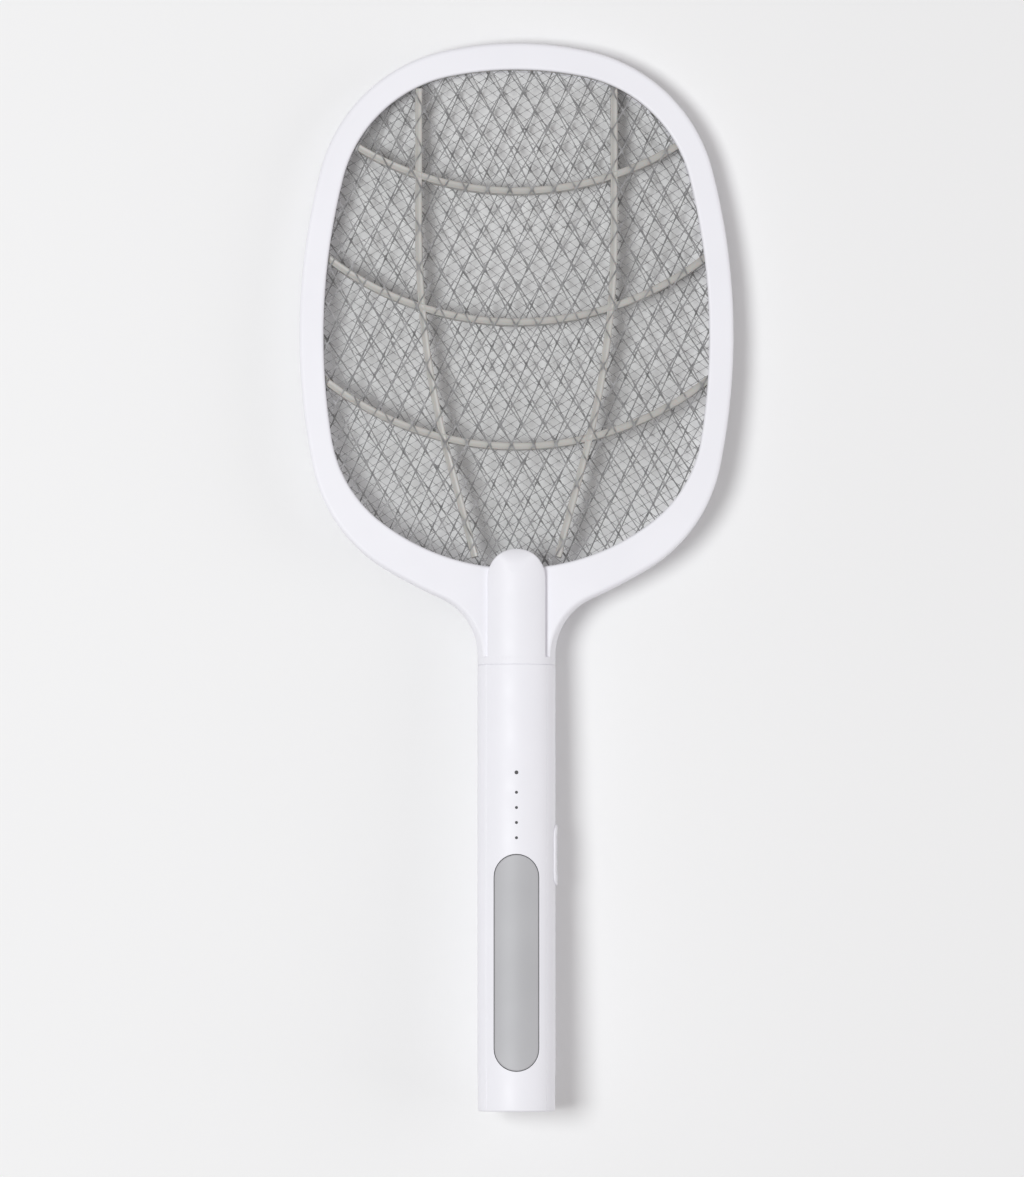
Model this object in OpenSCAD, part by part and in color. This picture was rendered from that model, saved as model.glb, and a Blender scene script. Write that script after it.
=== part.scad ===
// Electric fly swatter: an oval racket head with three mesh layers on a round handle.
// The handle lies along Y, the head's tip is towards +Y and the front face looks up, +Z.
// The origin is under the middle of the whole object, on the plane that the handle's back touches.

/* [Head] */
// Y of the rim's outer edge at the tip
rim_top_y = 240; // [239:0.25:241]
// Y of the opening's edge at the tip
opening_top_y = 228; // [227:0.25:229]
// Thickness of the head from its front face to its back face
head_t = 14; // [13.6:0.1:14.4]
// Height of the head's front face above the handle's axis
face_h = 9.2; // [9:0.1:9.4]
// Wall of the two frame halves at the rim's outer edge
rim_wall = 2; // [1.8:0.1:2.2]
// Half the width of the raised barrel on the neck
barrel_half_w = 13; // [12.5:0.25:13.5]
// Y of the barrel's rounded end, which reaches over the meshes
barrel_end_y = 11.8; // [10:0.2:13]

/* [Meshes] */
// Thickness of each mesh
mesh_t = 0.5; // [0.4:0.1:0.6]
// Distance that the spacers hold between two meshes
mesh_gap = 4.1; // [4:0.1:4.2]
// How far the meshes reach under the rim
mesh_margin = 5; // [4.6:0.1:5]
// Width of a diamond in the outer meshes
diamond_w = 9.9; // [9:0.1:12]
// Height of a diamond in the outer meshes
diamond_h = 17.7; // [16:0.1:20]
// Width of a strand in the outer meshes
strand_w = 0.8; // [0.6:0.1:1.2]
// Turn of the front mesh's pattern, in degrees
front_turn = -1.5; // [-6:0.5:6]
// Turn of the rear mesh's pattern, in degrees
rear_turn = 5; // [-6:0.5:6]
// Width of the ribs of the spacers
rib_w = 3.2; // [2.6:0.2:3.6]

/* [Handle] */
// Outer diameter of the handle
handle_d = 35; // [35:0.5:36]
// Wall of the handle shells
handle_wall = 2; // [1.8:0.1:2]
// Y of the seam between the head and the handle
seam_y = -40; // [-41:0.25:-39]
// Y of the handle's closed end
handle_end_y = -240; // [-242:0.5:-240]
// Half the width of the front shell, which is the distance of the parting lines from the middle
parting_x = 13.6; // [13:0.1:14]
// How far the head's spigot reaches into the handle
spigot_l = 17; // [14:0.5:18]
// Radius of the handle's last stretch, which a holder's ring takes
holder_r = 17.3; // [17.2:0.05:17.3]
// Length of that stretch
holder_l = 14; // [12:0.5:15]

/* [Trigger] */
// Width of the trigger bar
trigger_w = 19.8; // [19:0.1:20.2]
// Length of the trigger bar
trigger_l = 96.6; // [94:0.2:97]
// Y of the trigger bar's middle
trigger_y = -173.6; // [-175:0.1:-173]
// Gap round the trigger bar
trigger_gap = 0.25; // [0.2:0.05:0.3]
// How far the trigger bar goes in
trigger_travel = 1; // [0.8:0.1:1]

/* [Power switch] */
// Y of the knob's middle when off
knob_y = -126.3; // [-127:0.1:-126]
// Length of the knob
knob_l = 17.5; // [17:0.1:18]
// Width of the knob
knob_w = 4.6; // [4.2:0.1:4.8]
// How far the knob slides
knob_travel = 2; // [1.6:0.1:2.2]
// Length of the bezel round the knob
bezel_l = 27.4; // [27:0.1:28]
// Width of the bezel
bezel_w = 9; // [8.6:0.1:9.2]
// How far the bezel stands out of the handle
bezel_proud = 0.9; // [0.7:0.1:1]

/* [Battery] */
// Diameter of the cell
cell_d = 18.4; // [18:0.1:18.4]
// Length of the cell
cell_l = 65; // [64:0.5:65]
// Y of the cell's closed end
cell_end_y = -207; // [-208:0.5:-206]

/* [Circuit board] */
// Width of the board
board_w = 24; // [22:0.5:24.5]
// Thickness of the board
board_t = 1.6; // [1.2:0.2:1.6]
// Height of the board's upper side above the handle's axis
board_h = 5.6; // [5.4:0.1:5.6]

/* [Hidden] */
$fn = 96;
eps = 0.01;
far = 300;

// Heights. The handle's axis is one radius above the plane that its back touches.
handle_r = handle_d / 2;
axis_z = handle_r;
face_z = axis_z + face_h;
back_z = face_z - head_t;
mid_z = (face_z + back_z) / 2;
mesh_pitch = mesh_gap + mesh_t;
front_mesh_z = mid_z + mesh_pitch;
rear_mesh_z = mid_z - mesh_pitch;
cavity_top_z = front_mesh_z + mesh_t / 2;
cavity_floor_z = rear_mesh_z - mesh_t / 2;
bore_r = handle_r - handle_wall;
holder_y = handle_end_y + holder_l;

// Both outlines start at the tip and run clockwise as arcs that meet tangentially.
// Each arc has a radius and ends at a heading, counted in degrees from +X.
rim_radii = [149, 74, 296, 70, 240];
rim_headings = [0, 12.7, 75.5, 101.6, 149, 155.7];
opening_radii = [150, 62.4, 290, 59];
opening_headings = [0, 11.4, 75.8, 99.3, 142.3];
arc_step = 3;

function arc_point(p, r, a0, a) = [p.x + r * (sin(a) - sin(a0)), p.y + r * (cos(a) - cos(a0))];
function arc_starts(p, r, a, i = 0) =
    i == len(r) ? [p] : concat([p], arc_starts(arc_point(p, r[i], a[i], a[i + 1]), r, a, i + 1));
function chain_points(p, r, a) =
    let (starts = arc_starts(p, r, a))
    [for (i = [0 : len(r) - 1])
        let (n = ceil(abs(a[i + 1] - a[i]) / arc_step))
        for (k = [0 : n - 1])
            arc_point(starts[i], r[i], a[i], a[i] + (a[i + 1] - a[i]) * k / n)];
function grown(radii, d) = [for (r = radii) r + d];
function whole(half) = concat(half, [for (i = [len(half) - 1 : -1 : 0]) [-half[i].x, half[i].y]]);

// The opening closes on the middle line with one more arc.
opening_start = [0, opening_top_y];
opening_last = arc_starts(opening_start, opening_radii, opening_headings)[len(opening_radii)];
opening_foot_r = opening_last.x / sin(opening_headings[len(opening_radii)]);
opening_all_radii = concat(opening_radii, opening_foot_r);
opening_all_headings = concat(opening_headings, 180);
function opening_half(d) =
    chain_points([0, opening_top_y + d], grown(opening_all_radii, d), opening_all_headings);
opening_foot_y = opening_last.y - opening_foot_r * (1 + cos(opening_headings[len(opening_radii)]));

// A hollow arc brings the rim's outline round to the neck's straight side.
rim_last = arc_starts([0, rim_top_y], rim_radii, rim_headings)[len(rim_radii)];
rim_last_heading = rim_headings[len(rim_radii)];
neck_fillet_r = (rim_last.x - handle_r) / (1 - sin(rim_last_heading));
neck_y = rim_last.y + neck_fillet_r * cos(rim_last_heading);
function rim_half(d) = concat(
    chain_points(
        [0, rim_top_y + d],
        concat(grown(rim_radii, d), -(neck_fillet_r - d)),
        concat(rim_headings, 90)
    ),
    [[handle_r + d, neck_y], [handle_r + d, seam_y]]
);

// A point beside the opening's edge at a heading, where a screw sits.
function opening_point(d, heading) =
    let (
        starts = arc_starts([0, opening_top_y + d], grown(opening_all_radii, d), opening_all_headings),
        i = [for (k = [0 : len(opening_all_radii) - 1]) if (opening_all_headings[k] <= heading) k]
    )
    let (k = i[len(i) - 1])
    arc_point(starts[k], opening_all_radii[k] + d, opening_all_headings[k], heading);
screw_headings = [0, 40, 76, 100, 130];
screw_inset = 7.2;
frame_screw_places = [
    for (h = screw_headings)
        for (side = h == 0 ? [1] : [-1, 1])
            let (p = opening_point(screw_inset, h))
            [side * p.x, p.y]
];
frame_boss_r = 2;
frame_screw_r = 0.8;
frame_clear_r = 1.15;
frame_head_r = 1.75;
frame_head_h = 1.1;
frame_head_sink = 0.2;

// The neck
spigot_r = bore_r - 0.1;
neck_bore_r = 13;
neck_bore_end_y = -12;
cavity_end_y = -13;
collar_l = 3.5;
nose_round_r = 14;
nose_start_y = 2;
back_nose_start_y = -16;
back_nose_end_y = 2;

// The mesh tabs and their contacts
tab_x = 4;
tab_w = 4;
tab_end_y = -6.2;
contact_t = 0.4;
contact_reach_y = -2.5;
lead_r = 0.8;
lead_z = axis_z - 0.1;

// The trigger bar's inside, the push switch and the springs, as heights above the handle's axis
flange_r = bore_r - 0.3;
trigger_inner_r = 14.1;
flange_w = 2;
seat_h = 13;
seat_r = 3.6;
spring_post_r = 1.5;
spring_post_h = 9.6;
spring_r = 2.3;
spring_wire_r = 0.25;
spring_turns = 5;
spring_offset_y = 33.6;
push_switch_w = 6;
push_switch_h = 3.5;
plunger_r = 1.7;
plunger_clear = 0.05;
plunger_top = board_h + push_switch_h + trigger_travel + 0.3;
plunger_l = 2;

// The power switch on the handle's right
switch_z = axis_z + 1.2;
knob_floor_x = handle_r - 0.5;
bezel_floor_x = handle_r - 1.5;
bezel_r = handle_r + bezel_proud;
recess_y = knob_y + knob_travel / 2;
recess_clear = 0.1;
window_l = knob_travel + 4.6;
window_w = 4;
stem_l = 4;
stem_w = 3.4;
lever_w = 1.5;

// The board's ends and the light pipes along the middle line
board_top_z = axis_z + board_h;
board_low_z = board_top_z - board_t;
board_start_y = handle_end_y + 2.7;
board_end_y = -63;
dot_ys = [-88.6, -97.5, -104.3, -111, -117.8];
large_dot_r = 0.8;
dot_r = 0.6;
dot_clear = 0.02;
led_h = 0.65;
function dot_radius(i) = i == 0 ? large_dot_r : dot_r;

// Fasteners of the handle
handle_screw_places = [for (x = [-8.5, 8.5]) for (y = [-70, -229]) [x, y]];
handle_screw_r = 1.1;
handle_clear_r = 1.3;
handle_head_r = 2.1;
handle_head_z = axis_z - 10;
handle_head_h = 1.4;
handle_screw_top_z = axis_z + 11;
rear_boss_r = 3.4;
front_boss_r = 2.4;
neck_screw_y = seam_y - 9;
neck_screw_head_z = 0.4;

// The battery and the board's supports
cell_r = cell_d / 2;
cell_z = axis_z - 5.8;
cell_start_y = cell_end_y + cell_l;
cradle_ys = [cell_end_y + 6, cell_end_y + cell_l / 2, cell_start_y - 8];
cradle_t = 2;
ledge_ys = [-222, -180, -135, -78];
ledge_l = 3;

// The end cap and the charging socket
cap_t = 2.5;
cap_ring_r = bore_r + 0.9;
cap_ring_t = 0.8;
cap_ring_y = handle_end_y + 1.2;
socket_w = 8.94;
socket_h = 3.26;
socket_l = 7.3;
socket_wall = 0.35;
socket_z = board_low_z - socket_h / 2;
socket_start_y = handle_end_y + 0.4;

white_plastic = [0.95, 0.95, 0.97];
bright_metal = [0.78, 0.79, 0.8];
rib_plastic = [0.83, 0.82, 0.79];

// Basic shapes
module rod_y(r, y0, y1, x = 0, z = axis_z) {
    translate([x, y0, z]) rotate([-90, 0, 0]) cylinder(r = r, h = y1 - y0);
}
module rod_z(r, x, y, z0, z1) {
    translate([x, y, z0]) cylinder(r = r, h = z1 - z0);
}
module box(x0, x1, y0, y1, z0, z1) {
    translate([x0, y0, z0]) cube([x1 - x0, y1 - y0, z1 - z0]);
}
module pill(l, w) {
    square([w, l - w], center = true);
    for (s = [-1, 1]) translate([0, s * (l - w) / 2]) circle(d = w);
}
module pill_z(l, w, y, z0, z1) {
    translate([0, y, z0]) linear_extrude(z1 - z0) pill(l, w);
}
module pill_x(l, w, y, x0, x1) {
    translate([x0, y, switch_z]) rotate([0, 90, 0]) linear_extrude(x1 - x0) pill(l, w);
}
module opening_shape(d = 0) {
    polygon(whole(opening_half(d)));
}
module rim_shape(d = 0) {
    polygon(whole(rim_half(d)));
}
module slab(z0, z1) {
    translate([0, 0, z0]) linear_extrude(z1 - z0) children();
}

// A tube along a list of points, with flat ends
function unit(v) = v / norm(v);
function tangent(p, i) = unit(p[min(i + 1, len(p) - 1)] - p[max(i - 1, 0)]);
function ring_at(c, t, r, sides, up) =
    let (u = unit(cross(t, up)), v = cross(t, u))
    [for (k = [0 : sides - 1]) c + r * (cos(360 * k / sides) * u + sin(360 * k / sides) * v)];
module tube_along(p, r, sides, up) {
    n = len(p);
    rings = [for (i = [0 : n - 1]) each ring_at(p[i], tangent(p, i), r, sides, up)];
    walls = [
        for (i = [0 : n - 2])
            for (k = [0 : sides - 1])
                let (a = i * sides + k, b = i * sides + (k + 1) % sides)
                each [[a, b, b + sides], [a, b + sides, a + sides]]
    ];
    first = [for (k = [sides - 1 : -1 : 0]) k];
    last = [for (k = [0 : sides - 1]) (n - 1) * sides + k];
    polyhedron(rings, concat(walls, [first, last]));
}

// The neck narrows to a circle at the seam, so the slab is cut to the outline turned round the axis.
module neck_envelope() {
    half = rim_half(0);
    low = [for (p = half) if (p.y < cavity_end_y + 20) p];
    translate([0, 0, axis_z])
        rotate([-90, 0, 0])
            rotate_extrude()
                polygon(concat(
                    [[0, seam_y], [0, rim_top_y + 1], [far, rim_top_y + 1], [far, low[0].y]], low
                ));
}
module head_slab(z0, z1) {
    intersection() {
        slab(z0, z1) difference() {
            rim_shape();
            opening_shape();
        }
        neck_envelope();
    }
}
module head_cavity() {
    slab(cavity_floor_z, cavity_top_z) intersection() {
        rim_shape(-rim_wall);
        translate([-far, cavity_end_y]) square([2 * far, far * 2]);
    }
}
module neck_bore() {
    rod_y(neck_bore_r, seam_y - spigot_l - 1, neck_bore_end_y);
}
module above(z) {
    translate([-far, -far, z]) cube([2 * far, 2 * far, far]);
}
module below(z) {
    translate([-far, -far, z - far]) cube([2 * far, 2 * far, far]);
}
module collar_and_spigot() {
    rod_y(handle_r, seam_y, seam_y + collar_l);
    rod_y(spigot_r, seam_y - spigot_l, seam_y + eps);
}
module front_barrel() {
    intersection() {
        rod_y(handle_r, seam_y, barrel_end_y);
        slab(0, handle_d) {
            translate([-barrel_half_w, seam_y])
                square([2 * barrel_half_w, barrel_end_y - barrel_half_w - seam_y]);
            translate([0, barrel_end_y - barrel_half_w]) circle(r = barrel_half_w);
        }
        union() {
            box(-far, far, seam_y - 1, nose_start_y, 0, handle_d);
            translate([-far, nose_start_y, handle_d - nose_round_r])
                rotate([0, 90, 0]) cylinder(r = nose_round_r, h = 2 * far);
        }
    }
}
module back_barrel() {
    rise = back_z;
    run = back_nose_end_y - back_nose_start_y;
    nose_r = (run * run + rise * rise) / (2 * rise);
    intersection() {
        rod_y(handle_r, seam_y, back_nose_end_y);
        union() {
            box(-far, far, seam_y - 1, back_nose_start_y, 0, handle_d);
            translate([-far, back_nose_start_y, nose_r])
                rotate([0, 90, 0]) cylinder(r = nose_r, h = 2 * far);
        }
    }
}

module front_frame() {
    color(white_plastic) difference() {
        union() {
            difference() {
                union() {
                    head_slab(mid_z, face_z);
                    intersection() {
                        union() {
                            front_barrel();
                            collar_and_spigot();
                        }
                        above(mid_z);
                    }
                }
                head_cavity();
                neck_bore();
            }
            for (p = frame_screw_places) rod_z(frame_boss_r, p.x, p.y, mid_z, cavity_top_z + eps);
        }
        for (p = frame_screw_places) rod_z(frame_screw_r, p.x, p.y, mid_z - 1, cavity_top_z);
    }
}

module rear_frame() {
    color(white_plastic) difference() {
        union() {
            difference() {
                union() {
                    head_slab(back_z, mid_z);
                    intersection() {
                        union() {
                            back_barrel();
                            collar_and_spigot();
                        }
                        below(mid_z);
                    }
                }
                head_cavity();
                neck_bore();
            }
            for (p = frame_screw_places) rod_z(frame_boss_r, p.x, p.y, cavity_floor_z - eps, mid_z);
        }
        for (p = frame_screw_places) {
            rod_z(frame_clear_r, p.x, p.y, back_z - 1, mid_z + 1);
            rod_z(frame_head_r, p.x, p.y, back_z - 1, back_z + frame_head_sink + frame_head_h);
        }
        rod_z(handle_screw_r, 0, neck_screw_y, -1, axis_z);
    }
}

module frame_screws() {
    head_top_z = back_z + frame_head_sink + frame_head_h;
    color(bright_metal) for (p = frame_screw_places) difference() {
        union() {
            rod_z(frame_head_r, p.x, p.y, back_z + frame_head_sink, head_top_z);
            rod_z(frame_screw_r, p.x, p.y, head_top_z - eps, cavity_top_z - 1);
        }
        for (turn = [0, 90])
            translate([p.x, p.y, back_z + frame_head_sink])
                rotate([0, 0, turn]) cube([2, 0.4, 1], center = true);
    }
}

// A mesh is a sheet with rows of diamonds cut where they lie wholly inside the opening.
opening_widths = [for (p = opening_half(1.5)) [p.y, p.x]];
function opening_half_w(y) = y > opening_top_y || y < opening_foot_y ? 0 : lookup(y, opening_widths);
function turned(p, a) = [p.x * cos(a) - p.y * sin(a), p.x * sin(a) + p.y * cos(a)];
module mesh_sheet(w, h, strand, turn, tab_side) {
    edge_distance = (w * h / 4) / norm([w, h]) * 2;
    hole = 1 - strand / 2 / edge_distance;
    middle = [0, (opening_top_y + opening_foot_y) / 2];
    columns = ceil(100 / w);
    rows = ceil(130 / h);
    corners = [[w / 2, 0], [0, h / 2], [-w / 2, 0], [0, -h / 2]] * hole;
    tab_mid_x = tab_side * tab_x;
    box(tab_mid_x - tab_w / 2, tab_mid_x + tab_w / 2, tab_end_y, opening_foot_y - mesh_margin + 1,
        0, mesh_t);
    linear_extrude(mesh_t) difference() {
        opening_shape(mesh_margin);
        for (i = [-columns : columns], j = [-rows : rows], shift = [0, 0.5]) {
            c = [(i + shift) * w, (j + shift) * h];
            points = [for (q = corners) middle + turned(c + q, turn)];
            if (min([for (p = points) opening_half_w(p.y) - abs(p.x)]) > 0) polygon(points);
        }
    }
}
module front_mesh() {
    color(bright_metal)
        translate([0, 0, front_mesh_z - mesh_t / 2])
            mesh_sheet(diamond_w, diamond_h, strand_w, front_turn, -1);
}
module middle_mesh() {
    middle_w = 19.2;
    middle_h = 12.9;
    color(bright_metal)
        translate([0, 0, mid_z - mesh_t / 2])
            mesh_sheet(middle_w, middle_h, 2 * strand_w, -4, 1);
}
module rear_mesh() {
    color(bright_metal)
        translate([0, 0, rear_mesh_z - mesh_t / 2])
            mesh_sheet(diamond_w, diamond_h, strand_w, rear_turn, -1);
}

// A spacer is a ring under the rim with three hanging arcs and two uprights across the opening.
rib_arc_r = 139;
rib_arc_ys = [173.5, 114.3, 58.3];
upright_x = 44;
upright_bend_y = 156;
upright_bend_r = 400;
upright_lean = 15;
upright_top_y = opening_top_y + 3;
function upright_line() =
    let (
        bend = [for (a = [0 : 2.5 : upright_lean])
            [upright_x - upright_bend_r * (1 - cos(a)), upright_bend_y - upright_bend_r * sin(a), a]],
        last = bend[len(bend) - 1],
        drop = last.y - opening_foot_y + 2
    )
    concat(
        [[upright_x, upright_top_y, 0]],
        bend,
        [[last.x - drop * tan(upright_lean), last.y - drop, upright_lean]]
    );
module upright() {
    line = upright_line();
    side = [
        for (s = [-1, 1] * rib_w / 2)
            [for (p = line) [p.x + s * cos(p.z), p.y - s * sin(p.z)]]
    ];
    polygon(concat(side[0], [for (i = [len(line) - 1 : -1 : 0]) side[1][i]]));
}
module spacer_shape() {
    difference() {
        opening_shape(mesh_margin);
        opening_shape(0.6);
    }
    intersection() {
        opening_shape(2);
        union() {
            for (y = rib_arc_ys) translate([0, y + rib_arc_r]) difference() {
                circle(r = rib_arc_r + rib_w / 2);
                circle(r = rib_arc_r - rib_w / 2);
                translate([-far, 0]) square([2 * far, far]);
            }
            upright();
            mirror([1, 0]) upright();
        }
    }
}
module front_spacer() {
    color(rib_plastic) slab(mid_z + mesh_t / 2, front_mesh_z - mesh_t / 2) spacer_shape();
}
module rear_spacer() {
    color(rib_plastic) slab(rear_mesh_z + mesh_t / 2, mid_z - mesh_t / 2) spacer_shape();
}

module contact_flange(side, z0) {
    box(side * tab_x - tab_w / 2, side * tab_x + tab_w / 2, tab_end_y, contact_reach_y, z0, z0 + contact_t);
}
module contact_wall(side, z0, z1) {
    x = side * tab_x;
    box(x - tab_w / 2, x + tab_w / 2, tab_end_y, tab_end_y + contact_t, z0, z1);
}
module outer_mesh_contact() {
    color("goldenrod") {
        contact_flange(-1, front_mesh_z - mesh_t / 2 - contact_t);
        contact_wall(-1, rear_mesh_z + mesh_t / 2, front_mesh_z - mesh_t / 2);
        contact_flange(-1, rear_mesh_z + mesh_t / 2);
    }
}
module middle_mesh_contact() {
    color("goldenrod") {
        contact_flange(1, mid_z - mesh_t / 2 - contact_t);
        contact_wall(1, lead_z - 1.5, mid_z - mesh_t / 2);
    }
}
module lead(side) {
    x = side * tab_x;
    under_board_z = board_low_z - lead_r;
    tube_along([
        [x, board_end_y - 3, under_board_z], [x, board_end_y + 4, under_board_z],
        [x, board_end_y + 6, under_board_z - 0.4], [x, board_end_y + 10, lead_z + 0.4],
        [x, board_end_y + 12, lead_z], [x, cavity_end_y, lead_z], [x, tab_end_y, lead_z]
    ], lead_r, 8, [1, 0, 0]);
}
module high_voltage_lead() {
    color("firebrick") lead(1);
}
module return_lead() {
    color([0.12, 0.12, 0.13]) lead(-1);
}

module handle_tube() {
    difference() {
        union() {
            rod_y(handle_r, holder_y, seam_y);
            rod_y(holder_r, handle_end_y, holder_y + eps);
        }
        rod_y(bore_r, handle_end_y - 1, seam_y + 1);
        rod_y(cap_ring_r, cap_ring_y, cap_ring_y + cap_ring_t);
    }
}
module front_strip() {
    box(-parting_x, parting_x, handle_end_y - 1, seam_y + 1, axis_z, handle_d + 1);
}
module handle_front_shell() {
    color(white_plastic) difference() {
        union() {
            intersection() {
                handle_tube();
                front_strip();
            }
            for (p = handle_screw_places) intersection() {
                rod_z(front_boss_r, p.x, p.y, board_top_z, handle_d);
                rod_y(bore_r + 0.5, handle_end_y, seam_y);
            }
        }
        pill_z(trigger_l + 2 * trigger_gap, trigger_w + 2 * trigger_gap, trigger_y, axis_z, handle_d + 1);
        for (i = [0 : len(dot_ys) - 1])
            rod_z(dot_radius(i) + dot_clear, 0, dot_ys[i], axis_z, handle_d + 1);
        for (p = handle_screw_places)
            rod_z(handle_screw_r, p.x, p.y, board_top_z - 1, handle_screw_top_z);
    }
}
module handle_rear_shell() {
    color(white_plastic) difference() {
        union() {
            difference() {
                handle_tube();
                front_strip();
            }
            intersection() {
                union() {
                    for (p = handle_screw_places) rod_z(rear_boss_r, p.x, p.y, 0, board_low_z);
                    for (y = ledge_ys, s = [-1, 1])
                        translate([s * 13.5 - 2.5, y, board_low_z - 1.5]) cube([5, ledge_l, 1.5]);
                    for (y = cradle_ys)
                        box(-handle_r, handle_r, y - cradle_t / 2, y + cradle_t / 2, 0, cell_z);
                }
                rod_y(bore_r + 0.5, handle_end_y, seam_y);
            }
        }
        rod_y(cell_r, cell_end_y - 1, cell_start_y + 1, 0, cell_z);
        pill_x(bezel_l, bezel_w, recess_y, bezel_floor_x, handle_r + 1);
        box(0, handle_r + 1, recess_y - window_l / 2, recess_y + window_l / 2,
            switch_z - window_w / 2, switch_z + window_w / 2);
        for (p = handle_screw_places) {
            rod_z(handle_clear_r, p.x, p.y, -1, axis_z + board_h);
            rod_z(handle_head_r + 0.2, p.x, p.y, -1, handle_head_z + handle_head_h);
        }
        rod_z(handle_clear_r, 0, neck_screw_y, -1, axis_z);
        rod_z(handle_head_r + 0.1, 0, neck_screw_y, -1, neck_screw_head_z + 1);
    }
}
module socket_shape(grow) {
    rotate([0, 0, 90]) pill(socket_w + 2 * grow, socket_h + 2 * grow);
}
module socket_prism(grow, y0, y1) {
    translate([0, y1, socket_z]) rotate([90, 0, 0]) linear_extrude(y1 - y0) socket_shape(grow);
}
module end_cap() {
    color(white_plastic) difference() {
        union() {
            rod_y(bore_r, handle_end_y, handle_end_y + cap_t);
            rod_y(cap_ring_r, cap_ring_y, cap_ring_y + cap_ring_t);
        }
        socket_prism(0.05, handle_end_y - 1, handle_end_y + cap_t + 1);
    }
}
module long_screw(x, y) {
    head_end_z = handle_head_z + handle_head_h;
    difference() {
        union() {
            rod_z(handle_head_r, x, y, handle_head_z, head_end_z);
            rod_z(handle_screw_r, x, y, head_end_z - eps, handle_screw_top_z);
        }
        for (turn = [0, 90])
            translate([x, y, handle_head_z]) rotate([0, 0, turn]) cube([2.8, 0.5, 1.2], center = true);
    }
}
module handle_screws() {
    color(bright_metal) for (p = handle_screw_places) long_screw(p.x, p.y);
}
module neck_screw() {
    color(bright_metal) difference() {
        union() {
            rod_z(handle_head_r, 0, neck_screw_y, neck_screw_head_z, neck_screw_head_z + 1);
            rod_z(handle_screw_r, 0, neck_screw_y, neck_screw_head_z + 1 - eps, axis_z - neck_bore_r);
        }
        for (turn = [0, 90])
            translate([0, neck_screw_y, neck_screw_head_z])
                rotate([0, 0, turn]) cube([2.8, 0.5, 1], center = true);
    }
}

module battery_cell() {
    color("seagreen") {
        rod_y(cell_r, cell_end_y, cell_start_y - 1, 0, cell_z);
        rod_y(3, cell_start_y - 1 - eps, cell_start_y, 0, cell_z);
    }
}
module battery_positive_tab() {
    color(bright_metal) box(-3, 3, cell_start_y, cell_start_y + 0.3, cell_z - 3, board_low_z);
}
module battery_negative_tab() {
    color(bright_metal) box(-3, 3, cell_end_y - 0.3, cell_end_y, cell_z - 3, board_low_z);
}
module battery_pad() {
    color([0.2, 0.2, 0.22]) difference() {
        box(-4, 4, cell_end_y + 8, cell_start_y - 8, board_low_z - 1.5, board_low_z);
        rod_y(cell_r, cell_end_y, cell_start_y, 0, cell_z);
    }
}
module circuit_board() {
    color("darkgreen") difference() {
        box(-board_w / 2, board_w / 2, board_start_y, board_end_y, board_low_z, board_top_z);
        for (p = handle_screw_places)
            rod_z(handle_clear_r, p.x, p.y, board_low_z - 1, board_top_z + 1);
    }
}

// The high-voltage parts hang under the board
transformer_y = -109;
transformer_h = 12;
winding_h = 8;
winding_z = board_low_z - transformer_h / 2 - winding_h / 2;
core_leg_r = 2.2;
module transformer_core() {
    color([0.25, 0.25, 0.27]) {
        difference() {
            box(-4, 4, transformer_y - 8, transformer_y + 8, board_low_z - transformer_h, board_low_z);
            rod_z(5.8, 0, transformer_y, winding_z, winding_z + winding_h);
        }
        rod_z(core_leg_r, 0, transformer_y, winding_z - eps, winding_z + winding_h + eps);
    }
}
module transformer_bobbin() {
    color([0.15, 0.15, 0.16]) difference() {
        union() {
            rod_z(2.8, 0, transformer_y, winding_z, winding_z + winding_h);
            for (z = [winding_z, winding_z + winding_h - 0.6]) rod_z(5.7, 0, transformer_y, z, z + 0.6);
        }
        rod_z(core_leg_r, 0, transformer_y, winding_z - 1, winding_z + winding_h + 1);
    }
}
module transformer_winding() {
    color("orangered") difference() {
        rod_z(5.3, 0, transformer_y, winding_z + 0.6, winding_z + winding_h - 0.6);
        rod_z(2.8, 0, transformer_y, winding_z, winding_z + winding_h);
    }
}
module storage_capacitor() {
    color("chocolate") box(-9, -2, -99, -84, board_low_z - 12, board_low_z);
}
module rectifier_diodes() {
    color([0.1, 0.1, 0.11]) for (y = [-97, -92, -87]) translate([1.5, y, board_low_z - 1.3])
        rotate([0, 90, 0]) cylinder(r = 1.3, h = 5.2);
}
module bleed_resistors() {
    color("tan") for (y = [-80, -76]) translate([-3, y, board_low_z - 1.1])
        rotate([0, 90, 0]) cylinder(r = 1.1, h = 6.4);
}
module drive_transistor() {
    color([0.1, 0.1, 0.11]) box(-10, -2, -124, -121, board_low_z - 11, board_low_z);
}
module charging_chip() {
    color([0.1, 0.1, 0.11]) box(-3, 2, -230, -226, board_top_z, board_top_z + 1.5);
}
module controller_chip() {
    color([0.1, 0.1, 0.11]) box(4, 8, -104, -99, board_top_z, board_top_z + 1.5);
}
module indicator_leds() {
    color("ivory") for (y = dot_ys) box(-0.8, 0.8, y - 0.5, y + 0.5, board_top_z, board_top_z + led_h);
}
module light_pipes() {
    low_z = board_top_z + led_h + 0.1;
    color([0.2, 0.2, 0.21]) {
        box(-1.5, 1.5, dot_ys[4] - 2, dot_ys[0] + 2, axis_z + 12.2, axis_z + 13.4);
        for (i = [0 : len(dot_ys) - 1]) rod_z(dot_radius(i), 0, dot_ys[i], low_z, handle_d - eps);
    }
}
module charging_socket() {
    color(bright_metal) difference() {
        socket_prism(0, socket_start_y, socket_start_y + socket_l);
        socket_prism(-socket_wall, socket_start_y - 1, socket_start_y + socket_l - 1);
    }
}
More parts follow.
